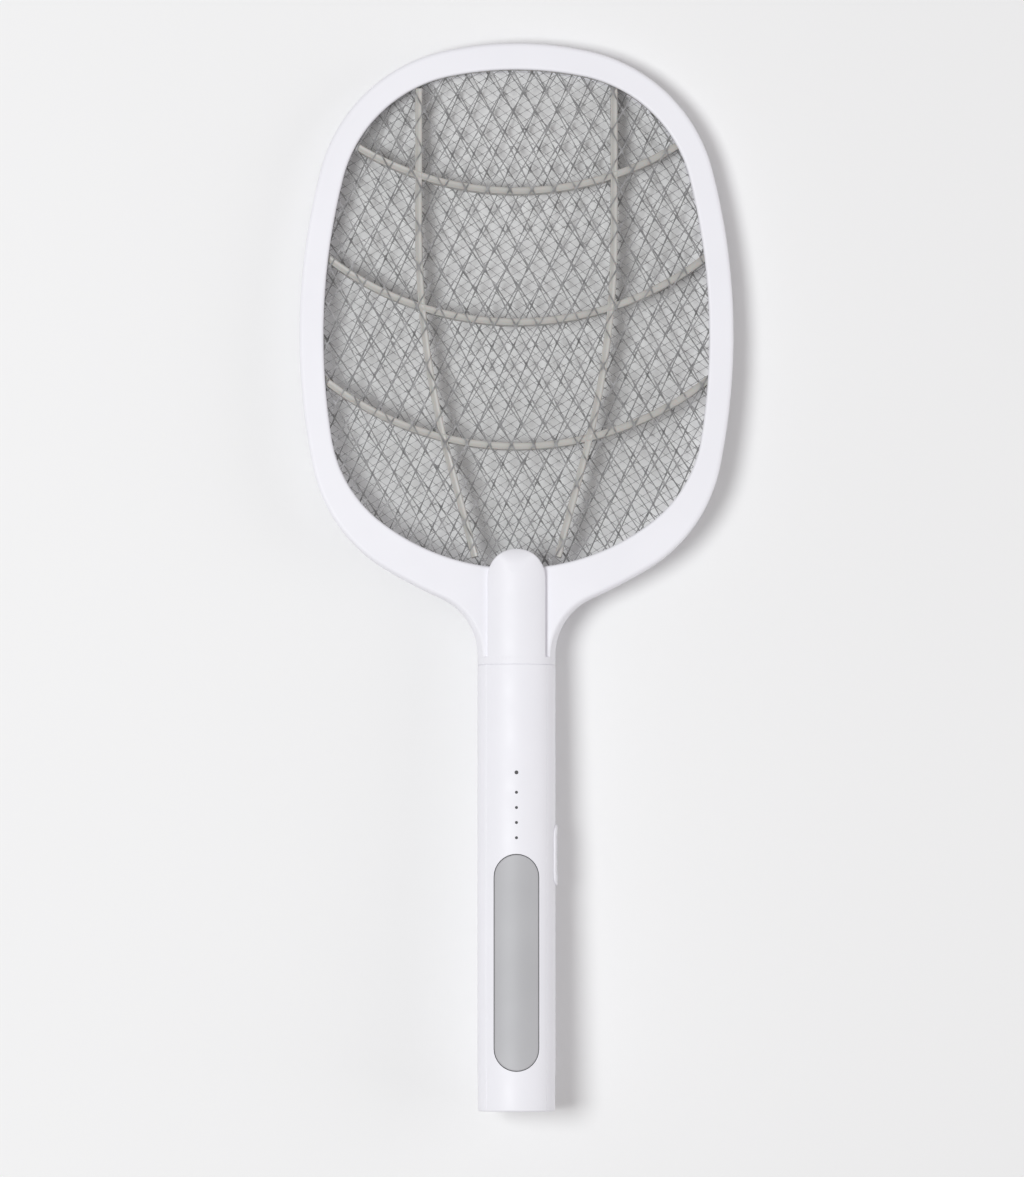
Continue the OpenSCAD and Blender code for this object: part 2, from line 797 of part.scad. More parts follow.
module charging_socket_tongue() {
    color([0.1, 0.1, 0.11])
        box(-3.3, 3.3, socket_start_y + 1, socket_start_y + socket_l - 1, socket_z - 0.35, socket_z + 0.35);
}

module push_switch() {
    half = push_switch_w / 2;
    body_top_z = board_top_z + push_switch_h;
    color([0.15, 0.15, 0.16]) difference() {
        box(-half, half, trigger_y - half, trigger_y + half, board_top_z, body_top_z);
        rod_z(plunger_r + plunger_clear, 0, trigger_y, body_top_z - 2.2, body_top_z + 1);
    }
}
module switch_plunger() {
    top_z = axis_z + plunger_top;
    color("gold") rod_z(plunger_r, 0, trigger_y, top_z - plunger_l, top_z);
}
module trigger_bar() {
    low_z = axis_z + 5;
    color([0.72, 0.72, 0.74]) {
        difference() {
            union() {
                intersection() {
                    pill_z(trigger_l, trigger_w, trigger_y, low_z, handle_d + 1);
                    rod_y(handle_r, handle_end_y, seam_y);
                }
                intersection() {
                    pill_z(trigger_l + 2 * flange_w, trigger_w + 2 * flange_w, trigger_y, low_z, handle_d);
                    rod_y(flange_r, handle_end_y, seam_y);
                }
            }
            rod_y(trigger_inner_r, handle_end_y, seam_y);
        }
        for (s = [-1, 1]) {
            y = trigger_y + s * spring_offset_y;
            rod_z(seat_r, 0, y, axis_z + seat_h, axis_z + trigger_inner_r + 0.5);
            rod_z(spring_post_r, 0, y, axis_z + spring_post_h, axis_z + seat_h + eps);
        }
        rod_z(2, 0, trigger_y, axis_z + plunger_top + 0.1, axis_z + trigger_inner_r + 0.5);
    }
}
module trigger_springs() {
    steps = 12;
    low_z = board_top_z + spring_wire_r;
    rise = seat_h - board_h - 2 * spring_wire_r;
    n = spring_turns * steps;
    color(bright_metal) for (s = [-1, 1]) {
        y = trigger_y + s * spring_offset_y;
        tube_along([
            for (i = [0 : n])
                let (a = 360 * i / steps)
                [spring_r * cos(a), y + spring_r * sin(a), low_z + rise * i / n]
        ], spring_wire_r, 6, [0, 0, 1]);
    }
}

slide_low_z = board_low_z - 4.4;
slide_in_x = 8;
slide_out_x = 12.4;
module slide_switch() {
    color(bright_metal) difference() {
        box(slide_in_x, slide_out_x, recess_y - 4.3, recess_y + 4.3, slide_low_z, board_low_z);
        box(slide_in_x + 1.5, slide_out_x + 1, recess_y - 1.9, recess_y + 1.9,
            switch_z - lever_w / 2 - 0.1, switch_z + lever_w / 2 + 0.1);
    }
}
module switch_lever() {
    color([0.1, 0.1, 0.11])
        box(slide_in_x + 1.7, 15.4, knob_y - lever_w / 2, knob_y + lever_w / 2,
            switch_z - lever_w / 2, switch_z + lever_w / 2);
}
module switch_knob() {
    color([0.88, 0.88, 0.9]) difference() {
        union() {
            intersection() {
                pill_x(knob_l, knob_w, knob_y, knob_floor_x + 0.1, handle_r + 2);
                rod_y(bezel_r, handle_end_y, seam_y);
            }
            box(13.4, knob_floor_x + 0.2, knob_y - stem_l / 2, knob_y + stem_l / 2,
                switch_z - stem_w / 2, switch_z + stem_w / 2);
        }
        box(13, 15.4, knob_y - lever_w / 2, knob_y + lever_w / 2,
            switch_z - lever_w / 2, switch_z + lever_w / 2);
    }
}
module switch_bezel() {
    recess_l = knob_l + knob_travel + 2 * recess_clear;
    color(white_plastic) difference() {
        intersection() {
            pill_x(bezel_l, bezel_w, recess_y, bezel_floor_x, handle_r + 2);
            rod_y(bezel_r, handle_end_y, seam_y);
        }
        pill_x(recess_l, knob_w + 4 * recess_clear, recess_y, knob_floor_x, handle_r + 2);
        box(0, handle_r + 1, recess_y - window_l / 2, recess_y + window_l / 2,
            switch_z - window_w / 2, switch_z + window_w / 2);
    }
}

front_frame();
rear_frame();
frame_screws();
front_mesh();
middle_mesh();
rear_mesh();
front_spacer();
rear_spacer();
outer_mesh_contact();
middle_mesh_contact();
high_voltage_lead();
return_lead();
handle_front_shell();
handle_rear_shell();
end_cap();
handle_screws();
neck_screw();
battery_cell();
battery_positive_tab();
battery_negative_tab();
battery_pad();
circuit_board();
transformer_core();
transformer_bobbin();
transformer_winding();
storage_capacitor();
rectifier_diodes();
bleed_resistors();
drive_transistor();
charging_chip();
controller_chip();
indicator_leds();
light_pipes();
charging_socket();
charging_socket_tongue();
push_switch();
switch_plunger();
trigger_bar();
trigger_springs();
slide_switch();
switch_lever();
switch_knob();
switch_bezel();
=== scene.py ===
import math
import random
from functools import partial

import bmesh
import bpy
import numpy as np
from mathutils import Matrix, Vector


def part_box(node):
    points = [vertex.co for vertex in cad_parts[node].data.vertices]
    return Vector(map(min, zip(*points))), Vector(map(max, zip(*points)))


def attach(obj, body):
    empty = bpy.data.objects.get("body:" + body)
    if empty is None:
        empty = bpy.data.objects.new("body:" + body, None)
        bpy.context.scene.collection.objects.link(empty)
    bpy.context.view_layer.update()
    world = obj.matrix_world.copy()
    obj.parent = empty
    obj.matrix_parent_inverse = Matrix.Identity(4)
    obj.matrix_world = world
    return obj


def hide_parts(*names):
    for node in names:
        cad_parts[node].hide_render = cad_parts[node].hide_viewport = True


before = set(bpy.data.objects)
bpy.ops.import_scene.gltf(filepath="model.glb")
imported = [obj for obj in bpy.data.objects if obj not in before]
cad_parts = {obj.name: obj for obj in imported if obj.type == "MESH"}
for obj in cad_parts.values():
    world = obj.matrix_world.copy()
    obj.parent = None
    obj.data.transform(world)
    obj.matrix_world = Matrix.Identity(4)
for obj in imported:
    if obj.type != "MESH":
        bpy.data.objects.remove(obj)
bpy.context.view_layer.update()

MM = 0.001
RACKET, TRIGGER, SLIDER = "racket", "trigger", "power_slider"


def box_mm(node):
    low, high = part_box(node)
    return low / MM, high / MM


def middle_z(node):
    """Height of the middle of a CAD node."""
    return sum(v.z for v in box_mm(node)) / 2


# Radii, heights and lengths that the CAD nodes give
handle_low, handle_high = box_mm("handle_rear_shell")
HANDLE_R = (handle_high.x - handle_low.x) / 2
AXIS_Z = HANDLE_R
END_Y, SEAM_Y = handle_low.y, handle_high.y
TIP_Y = box_mm("front_frame")[1].y
MID_Z = box_mm("front_frame")[0].z
CAVITY_TOP_Z = box_mm("front_mesh")[1].z
CAVITY_FLOOR_Z = box_mm("rear_mesh")[0].z
# The head's flat front and back, which no box gives because the barrel and the neck reach further
FACE_Z, BACK_Z = 26.7, 12.7

# The two outlines, as arcs that meet tangentially: radii, and headings in degrees clockwise from +X
RIM_RADII = (149, 74, 296, 70, 240)
RIM_HEADINGS = (0, 12.7, 75.5, 101.6, 149, 155.7)
OPENING_TOP_Y = 228
OPENING_RADII = (150, 62.4, 290, 59)
OPENING_HEADINGS = (0, 11.4, 75.8, 99.3, 142.3)
BARREL_HALF_W = 13
BARREL_END_Y = 11.8
COLLAR_L = 3.5
PARTING_X = 13.6
# Heading at which the neck's stretch of the outline begins
NECK_HEADING = 110
# How far the head's spigot reaches into the handle
SPIGOT_L = 17
# Where the neck's back begins to curve up, on which the swatter rests
NECK_REST_Y = -16.0
# Points closer than this are merged, in millimetres: in solids, in plates and in the meshes' lattices
WELD, PLATE_WELD, LATTICE_WELD = 1e-3, 1e-4, 1e-5


def sin(a):
    return math.sin(math.radians(a))


def cos(a):
    return math.cos(math.radians(a))


def lerp(a, b, t):
    return tuple(x + (y - x) * t for x, y in zip(a, b))


def smooth(t):
    """Rises from 0 to 1 as t does, flat at both ends."""
    t = min(max(t, 0), 1)
    return t * t * (3 - 2 * t)


def arc_point(p, r, a0, a):
    """Where an arc of radius r that leaves p at heading a0 has the heading a."""
    return (p[0] + r * (sin(a) - sin(a0)), p[1] + r * (cos(a) - cos(a0)))


def arc_starts(p, radii, headings):
    """The start of each arc of a chain that begins at p, and the end of the last one."""
    starts = [p]
    for r, a0, a1 in zip(radii, headings, headings[1:]):
        starts.append(arc_point(starts[-1], r, a0, a1))
    return starts


def chain_at(start, radii, headings, heading):
    """Where a chain of arcs has the given heading."""
    slack = 1e-9
    starts = arc_starts(start, radii, headings)
    k = max(i for i in range(len(radii)) if headings[i] <= heading + slack)
    return arc_point(starts[k], radii[k], headings[k], heading)


opening_last = arc_starts((0, OPENING_TOP_Y), OPENING_RADII, OPENING_HEADINGS)[-1]
FOOT_R = opening_last[0] / sin(OPENING_HEADINGS[-1])
FOOT_Y = opening_last[1] - FOOT_R * (1 + cos(OPENING_HEADINGS[-1]))


def opening_at(heading, d=0.0):
    """A point at distance d outside the opening's edge."""
    radii = [r + d for r in (*OPENING_RADII, FOOT_R)]
    return chain_at((0, OPENING_TOP_Y + d), radii, (*OPENING_HEADINGS, 180), heading)


rim_last = arc_starts((0, TIP_Y), RIM_RADII, RIM_HEADINGS)[-1]
FILLET_HEADING = RIM_HEADINGS[-1]
FILLET_R = (rim_last[0] - HANDLE_R) / (1 - sin(FILLET_HEADING))
NECK_Y = rim_last[1] + FILLET_R * cos(FILLET_HEADING)


def rim_at(heading, d=0.0):
    """A point at distance d outside the rim's outer edge, before the hollow arc."""
    return chain_at((0, TIP_Y + d), [r + d for r in RIM_RADII], RIM_HEADINGS, heading)


def fillet_at(heading, d=0.0):
    """A point at distance d outside the hollow arc between the rim and the neck."""
    return arc_point(rim_at(FILLET_HEADING, d), d - FILLET_R, FILLET_HEADING, heading)


def neck_at(t, d=0.0):
    """A point beside the rest of the neck's outline, from NECK_HEADING at t = 0 to the seam at t = 1."""
    arc = FILLET_R * math.radians(NECK_HEADING - 90)
    way = t * (arc + NECK_Y - SEAM_Y)
    if way < arc:
        return fillet_at(NECK_HEADING - math.degrees(way / FILLET_R), d)
    return (HANDLE_R + d, NECK_Y - (way - arc))


# ---------------------------------------------------------------- mesh tools

def mesh_object(name, verts, faces):
    mesh = bpy.data.meshes.new(name)
    mesh.from_pydata([tuple(v) for v in verts], [], faces)
    mesh.update()
    obj = bpy.data.objects.new(name, mesh)
    bpy.context.scene.collection.objects.link(obj)
    return obj


def clean(obj, distance=WELD, drop_plane=False):
    """Merges doubled points, drops faces in the plane x = 0 if asked, and turns the faces outwards."""
    bm = bmesh.new()
    bm.from_mesh(obj.data)
    bmesh.ops.remove_doubles(bm, verts=bm.verts, dist=distance)
    bmesh.ops.dissolve_degenerate(bm, dist=distance / 2, edges=bm.edges)
    if drop_plane:
        inner = [f for f in bm.faces if all(abs(v.co.x) < distance for v in f.verts)]
        bmesh.ops.delete(bm, geom=inner, context="FACES")
    bmesh.ops.recalc_face_normals(bm, faces=bm.faces)
    bm.to_mesh(obj.data)
    bm.free()
    return obj


def mirrored(obj):
    """Joins a half with its mirror image in the plane x = 0."""
    bm = bmesh.new()
    bm.from_mesh(obj.data)
    for v in bm.verts:
        if abs(v.co.x) < WELD:
            v.co.x = 0
    bmesh.ops.mirror(bm, geom=bm.verts[:] + bm.edges[:] + bm.faces[:], axis="X", merge_dist=WELD)
    bm.to_mesh(obj.data)
    bm.free()
    return clean(obj)


def loft(name, rings, wrap=False, caps=True):
    """Joins loops of points by quads. wrap: the last loop meets the first. caps: both ends are closed."""
    n, count = len(rings[0]), len(rings)
    verts = [p for ring in rings for p in ring]
    faces = []
    for i in range(count if wrap else count - 1):
        here, there = i * n, (i + 1) % count * n
        for j in range(n):
            k = (j + 1) % n
            faces.append((here + j, here + k, there + k, there + j))
    if caps and not wrap:
        faces.append(tuple(range(n))[::-1])
        faces.append(tuple(range((count - 1) * n, count * n)))
    return clean(mesh_object(name, verts, faces))


def prism(name, outline, z0, z1):
    """A solid with the same outline at two heights."""
    return loft(name, [[(x, y, z) for x, y in outline] for z in (z0, z1)])


def both_sides(half):
    """An outline from its right half, whose first point lies on the middle plane, as its last one may."""
    last = -1 if abs(half[-1][0]) < WELD else len(half)
    return half + [(-x, y) for x, y in reversed(half[1:last])]


def plate(name, top, bottom):
    """A closed solid between two grids of points with the same layout. Doubled points of top are merged."""
    rows, cols = len(top), len(top[0])
    points = [p for row in top for p in row]
    under = [p for row in bottom for p in row]
    keys, index = {}, []
    for p in points:
        k = tuple(round(c, 4) for c in p)
        index.append(keys.setdefault(k, len(keys)))
    n = len(keys)
    high, low = [None] * n, [None] * n
    for p, q, i in zip(points, under, index):
        high[i], low[i] = p, q
    faces, edges = [], {}
    for i in range(rows - 1):
        for j in range(cols - 1):
            ids = [index[i * cols + j], index[i * cols + j + 1],
                   index[(i + 1) * cols + j + 1], index[(i + 1) * cols + j]]
            ids = [v for k, v in enumerate(ids) if v != ids[k - 1]]
            if len(ids) > 2:
                faces.append(tuple(ids))
                for k, v in enumerate(ids):
                    edge = (ids[k - 1], v)
                    edges.setdefault(frozenset(edge), []).append(edge)
    walls = [(a, b, b + n, a + n) for uses in edges.values() if len(uses) == 1 for a, b in uses]
    floor_faces = [tuple(v + n for v in reversed(f)) for f in faces]
    return clean(mesh_object(name, high + low, faces + floor_faces + walls), distance=PLATE_WELD)


def boolean(obj, *tools, op="DIFFERENCE"):
    """Cuts the tools out of obj, or joins or intersects it with them, and deletes the tools."""
    for tool in tools:
        m = obj.modifiers.new("cut", "BOOLEAN")
        m.operation, m.object, m.solver = op, tool, "MANIFOLD"
        made = bpy.data.meshes.new_from_object(obj.evaluated_get(bpy.context.evaluated_depsgraph_get()))
        obj.modifiers.clear()
        if not made.polygons:
            raise RuntimeError(f"{op} of {obj.name} with {tool.name} left nothing")
        old, obj.data = obj.data, made
        bpy.data.meshes.remove(old)
        bpy.data.objects.remove(tool)
    return obj


def largest_island(obj):
    """Keeps the largest connected part."""
    bm = bmesh.new()
    bm.from_mesh(obj.data)
    left, islands = set(bm.verts), []
    while left:
        stack, island = [left.pop()], []
        while stack:
            v = stack.pop()
            island.append(v)
            for e in v.link_edges:
                o = e.other_vert(v)
                if o in left:
                    left.discard(o)
                    stack.append(o)
        islands.append(island)
    islands.sort(key=len)
    bmesh.ops.delete(bm, geom=[v for island in islands[:-1] for v in island], context="VERTS")
    bm.to_mesh(obj.data)
    bm.free()


def circle(r, n, centre=(0, 0)):
    return [(centre[0] + r * cos(360 * i / n), centre[1] + r * sin(360 * i / n)) for i in range(n)]


def rod_z(r, centre, z0, z1, n=32):
    return prism("rod", circle(r, n, centre), z0, z1)


def lathe_y(name, profile, n=96):
    """Turns (radius, y) points about the handle's axis."""
    turns = [360 * i / n for i in range(n)]
    return loft(name, [[(r * cos(a), y, AXIS_Z + r * sin(a)) for a in turns] for r, y in profile])


def half_space(above):
    """A block that fills the space around the part above or below the parting plane."""
    side, height = 400, 100
    z0, z1 = (MID_Z, MID_Z + height) if above else (MID_Z - height, MID_Z)
    return prism("half", [(-side, -side), (side, -side), (side, side), (-side, side)], z0, z1)


def pill(length, width, d=0.0, end_steps=16, side_steps=24):
    """A slot shape along the first axis, grown by d, as a loop of points."""
    r = width / 2 + d
    half = length / 2 - width / 2
    loop = []
    for side in (1, -1):
        loop += [(side * (half + r * cos(a)), side * r * sin(a))
                 for a in np.linspace(-90, 90, end_steps + 1)[:-1]]
        loop += [(side * x, side * r) for x in np.linspace(half, -half, side_steps + 1)[:-1]]
    return loop


def surface_z(x):
    """Height of the handle's front surface at x."""
    return AXIS_Z + math.sqrt(max(HANDLE_R * HANDLE_R - x * x, 0))


def edge_drop(r, d):
    """How far an edge rounded with radius r lies below its top, at distance d from its side."""
    return r - math.sqrt(max(r ** 2 - (r - d) ** 2, 0)) if d < r else 0


MATERIAL = {}


def finish(obj, name, material, body, nodes=(), crease=32):
    """Scales a piece to metres, gives it its finish and says what it moves with and stands for."""
    obj.name = obj.data.name = name
    obj.data.transform(Matrix.Scale(MM, 4))
    for p in obj.data.polygons:
        p.use_smooth = True
    obj.data.set_sharp_from_angle(angle=math.radians(crease))
    obj.data.materials.clear()
    obj.data.materials.append(MATERIAL[material])
    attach(obj, body)
    if nodes:
        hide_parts(*nodes)
    return obj


# ---------------------------------------------------------------- materials

# Between these values of a noise, the gloss and the colour run from one end of their range to the other
NOISE_RANGE = (0.3, 0.7)
COLOR_STOPS = (0.35, 0.65)
# The gloss varies over patches this many times smaller than the colour does
GLOSS_SCALE = 3
# Bump strength for each millimetre of bump depth, up to full strength
BUMP_STRENGTH = 8


def material(name, color, rough, metal=0.0, bump=0.02, grain=900, vary=0.03, spread=30, rough_vary=0.06,
             specular=0.5, coat=0.0, subsurface=0.0, streak=None, second=None):
    """A procedural finish: slow colour drift, fine grain in the surface and a little uneven gloss."""
    m = bpy.data.materials.new(name)
    m.use_nodes = True
    nt = m.node_tree
    nodes, link = nt.nodes, nt.links.new
    bsdf = next(n for n in nodes if n.type == "BSDF_PRINCIPLED")
    coords = nodes.new("ShaderNodeTexCoord")
    where = coords.outputs["Object"]
    if streak:
        mapping = nodes.new("ShaderNodeMapping")
        mapping.inputs["Scale"].default_value = streak
        link(where, mapping.inputs["Vector"])
        where = mapping.outputs["Vector"]

    def noise(scale, detail=3.0):
        n = nodes.new("ShaderNodeTexNoise")
        n.inputs["Scale"].default_value = scale
        n.inputs["Detail"].default_value = detail
        link(where, n.inputs["Vector"])
        return n.outputs["Fac"]

    def spread_over(fac, low, high):
        r = nodes.new("ShaderNodeMapRange")
        r.inputs["From Min"].default_value, r.inputs["From Max"].default_value = NOISE_RANGE
        r.inputs["To Min"].default_value, r.inputs["To Max"].default_value = low, high
        link(fac, r.inputs["Value"])
        return r.outputs["Result"]

    ramp = nodes.new("ShaderNodeValToRGB")
    dark = second or tuple(c * (1 - vary) for c in color)
    light = tuple(min(c * (1 + vary), 1) for c in color)
    for stop, position, shade in zip(ramp.color_ramp.elements, COLOR_STOPS, (dark, light)):
        stop.position = position
        stop.color = (*shade, 1)
    link(noise(spread), ramp.inputs["Fac"])
    link(ramp.outputs["Color"], bsdf.inputs["Base Color"])
    gloss = spread_over(noise(spread * GLOSS_SCALE), rough - rough_vary, rough + rough_vary)
    link(gloss, bsdf.inputs["Roughness"])
    b = nodes.new("ShaderNodeBump")
    b.inputs["Strength"].default_value = min(bump * BUMP_STRENGTH, 1)
    b.inputs["Distance"].default_value = bump * MM
    link(noise(grain, 2.0), b.inputs["Height"])
    link(b.outputs["Normal"], bsdf.inputs["Normal"])
    bsdf.inputs["Metallic"].default_value = metal
    bsdf.inputs["Specular IOR Level"].default_value = specular
    bsdf.inputs["Coat Weight"].default_value = coat
    bsdf.inputs["Subsurface Weight"].default_value = subsurface
    bsdf.inputs["Subsurface Scale"].default_value = MM
    MATERIAL[name] = m


material("shell_white", (0.887, 0.882, 0.925), 0.52, bump=0.015, grain=1400, vary=0.008)
material("mesh_metal", (0.33, 0.33, 0.335), 0.42, metal=0.5, bump=0.02, grain=2500, vary=0.3, spread=420,
         rough_vary=0.1)
material("spacer_greige", (0.47, 0.46, 0.437), 0.4, bump=0.01, grain=900, vary=0.03, subsurface=0.1)
material("trigger_grey", (0.5, 0.5, 0.515), 0.62, metal=0.14, bump=0.008, grain=2200, vary=0.02,
         rough_vary=0.012)
material("knob_grey", (0.78, 0.78, 0.81), 0.4, bump=0.012, grain=1400, vary=0.02)
material("smoked", (0.1, 0.1, 0.105), 0.16, bump=0.004, vary=0.1, coat=0.3)
material("screw_zinc", (0.62, 0.62, 0.64), 0.32, metal=1.0, bump=0.02, grain=3000, vary=0.08,
         streak=(1, 1, 0.1))
material("brass", (0.78, 0.58, 0.26), 0.3, metal=1.0, bump=0.02, grain=2000, vary=0.08)
material("insulation_red", (0.55, 0.03, 0.02), 0.5, bump=0.02, vary=0.08)
material("insulation_black", (0.02, 0.02, 0.022), 0.5, bump=0.02, vary=0.2)
material("cell_wrap", (0.03, 0.24, 0.15), 0.28, bump=0.02, grain=400, vary=0.08, coat=0.4)
material("nickel", (0.72, 0.7, 0.66), 0.28, metal=1.0, bump=0.02, grain=2500, vary=0.06)
material("foam", (0.03, 0.03, 0.034), 0.9, bump=0.25, grain=1600, vary=0.25)
material("board", (0.01, 0.14, 0.05), 0.32, bump=0.03, grain=700, vary=0.15, coat=0.5,
         second=(0.015, 0.2, 0.075))
material("ferrite", (0.045, 0.045, 0.05), 0.55, bump=0.08, grain=1800, vary=0.2)
material("winding", (0.42, 0.14, 0.04), 0.3, bump=0.12, grain=500, vary=0.15, streak=(0.2, 8, 0.2))
material("capacitor", (0.3, 0.08, 0.03), 0.25, bump=0.03, grain=500, vary=0.1, coat=0.4)
material("resistor", (0.62, 0.46, 0.27), 0.4, bump=0.03, grain=800, vary=0.1)
material("black_plastic", (0.022, 0.022, 0.024), 0.45, bump=0.03, grain=1600, vary=0.15)
material("led", (0.82, 0.8, 0.72), 0.4, bump=0.01, vary=0.05)
material("socket_steel", (0.62, 0.62, 0.64), 0.26, metal=1.0, bump=0.015, grain=2500, vary=0.06,
         streak=(0.2, 4, 0.2))
material("plunger", (0.7, 0.52, 0.06), 0.4, bump=0.02, vary=0.06)
material("spring", (0.58, 0.58, 0.6), 0.22, metal=1.0, bump=0.01, grain=2500, vary=0.08)
material("floor", (0.9, 0.9, 0.9), 0.75, bump=0.05, grain=60, vary=0.004, spread=3, specular=0.1)

# The CAD nodes that keep their own shape, and the finish of each
CAD_FINISH = {
    "frame_screws": "screw_zinc", "handle_screws": "screw_zinc", "neck_screw": "screw_zinc",
    "outer_mesh_contact": "brass", "middle_mesh_contact": "brass",
    "high_voltage_lead": "insulation_red", "return_lead": "insulation_black",
    "battery_cell": "cell_wrap", "battery_positive_tab": "nickel", "battery_negative_tab": "nickel",
    "battery_pad": "foam", "circuit_board": "board", "transformer_core": "ferrite",
    "transformer_bobbin": "black_plastic", "transformer_winding": "winding",
    "storage_capacitor": "capacitor", "rectifier_diodes": "black_plastic",
    "bleed_resistors": "resistor", "drive_transistor": "black_plastic",
    "charging_chip": "black_plastic", "controller_chip": "black_plastic", "indicator_leds": "led",
    "light_pipes": "smoked", "charging_socket": "socket_steel",
    "charging_socket_tongue": "black_plastic", "push_switch": "black_plastic",
    "switch_plunger": "plunger", "trigger_springs": "spring", "slide_switch": "socket_steel",
    "switch_lever": "black_plastic",
}
for node, finish_name in CAD_FINISH.items():
    for material_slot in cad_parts[node].material_slots:
        material_slot.material = MATERIAL[finish_name]


# ---------------------------------------------------------------- head

HALF_T = FACE_Z - MID_Z
INNER_ROUND = 1.2
OUTER_ROUND = 1.7
SUPPORT = 0.35
PARTING_CHAMFER = 0.25
# Degrees of heading between two sections of the rim, and how many sections the other stretches have
RIM_STEP, FILLET_STEPS, NECK_STEPS = 1.5, 26, 20
# How much of the neck's round the outer wall has: none at the tip, these where the rim ends and where the
# neck begins, and all of it at the seam
FLARE_SHARE, NECK_SHARE = 0.35, 0.75
FLARE_FROM, FLARE_SPAN = 120, 60
NECK_RISE = 1.6


def outer_profile(side, share):
    """(inset, height above the parting plane) from the flat face down the outer wall to its foot."""
    angles = (90, 72, 54, 36, 18, 0)
    rim = [(OUTER_ROUND * (1 - cos(a)), HALF_T - OUTER_ROUND * (1 - sin(a))) for a in angles]
    corner = 0.9 if side > 0 else 1.5
    corner_end, wall_from, wall_span = 30, 8, 44
    bulge, bulge_from, bulge_span, bulge_power = 0.8, 0.55, 0.45, 1.5
    neck = []
    for a in angles:
        if a > corner_end:
            h = HALF_T - corner * (1 - sin(a))
        else:
            h = (HALF_T - corner) * (a + wall_from) / wall_span
        z = h + (MID_Z - AXIS_Z) * side
        inset = HANDLE_R - math.sqrt(HANDLE_R ** 2 - z * z)
        rise = max(sin(a) - bulge_from, 0)
        neck.append((inset + (corner * bulge * rise / bulge_span) ** bulge_power, h))
    both = [lerp(p, q, share) for p, q in zip(rim, neck)]
    neck_foot = HANDLE_R - math.sqrt(HANDLE_R ** 2 - (MID_Z - AXIS_Z) ** 2)
    foot_inset = lerp((0, 0), (neck_foot, 0), share)[0]
    both.append((foot_inset, PARTING_CHAMFER))
    both.append((foot_inset + PARTING_CHAMFER, 0))
    return [(both[0][0] + SUPPORT, HALF_T)] + both


def flare_share(heading):
    return FLARE_SHARE * smooth((heading - FLARE_FROM) / FLARE_SPAN)


def middle_at(y, _distance):
    """A point on the middle plane, which is the inner edge along the neck at any distance."""
    return (0, y)


def slab_stations():
    """Sections from the tip to the seam: inner edge, outer edge, share of the neck's round, rounded lip.

    An edge is given as a function of the distance outside it. The inner edge has a lip round the opening.
    """
    stations = []
    n = int(FILLET_HEADING / RIM_STEP)
    for i in range(n + 1):
        h = FILLET_HEADING * i / n
        stations.append((partial(opening_at, h), partial(rim_at, h), flare_share(h), True))
    for i in range(1, FILLET_STEPS + 1):
        g = i / FILLET_STEPS
        stations.append((
            partial(opening_at, FILLET_HEADING + g * (180 - FILLET_HEADING)),
            partial(fillet_at, FILLET_HEADING + g * (NECK_HEADING - FILLET_HEADING)),
            flare_share(FILLET_HEADING) * (1 - g) + g * NECK_SHARE, True))
    y0 = FOOT_Y - INNER_ROUND
    for i in range(NECK_STEPS + 1):
        t = i / NECK_STEPS
        stations.append((
            partial(middle_at, y0 + (SEAM_Y - y0) * t), partial(neck_at, t),
            NECK_SHARE + (1 - NECK_SHARE) * min(t * NECK_RISE, 1), False))
    return stations


def slab_section(side, inner, outer, share, has_lip):
    """A loop of points from the parting plane over the inner edge and the flat face to the outer wall."""
    def z(h):
        return MID_Z + side * h

    lip = INNER_ROUND if has_lip else 0
    row = [(*inner(0), z(0)), (*inner(0), z(HALF_T - lip))]
    for a in (22.5, 45, 67.5, 90):
        row.append((*inner(lip * (1 - cos(a))), z(HALF_T - lip * (1 - sin(a)))))
    profile = outer_profile(side, share)
    start, end = inner(lip), outer(-profile[0][0])
    first_step = min(SUPPORT / math.dist(start, end), 0.1)
    row += [(*lerp(start, end, s), z(HALF_T)) for s in (first_step, 0.25, 0.5, 0.75)]
    return row + [(*outer(-inset), z(h)) for inset, h in profile]


def slab_half(side):
    """One half of the head, up to the parting plane: side is 1 for the front and -1 for the rear."""
    rows = [slab_section(side, *station) for station in slab_stations()]
    half = loft("slab", rows, caps=False)
    verts = [tuple(v.co) for v in half.data.vertices]
    faces = [tuple(p.vertices) for p in half.data.polygons]
    faces.append(tuple(range(len(verts), len(verts) + len(rows[-1]))))
    verts += rows[-1]
    bpy.data.objects.remove(half)
    return mirrored(clean(mesh_object("slab", verts, faces), drop_plane=True))


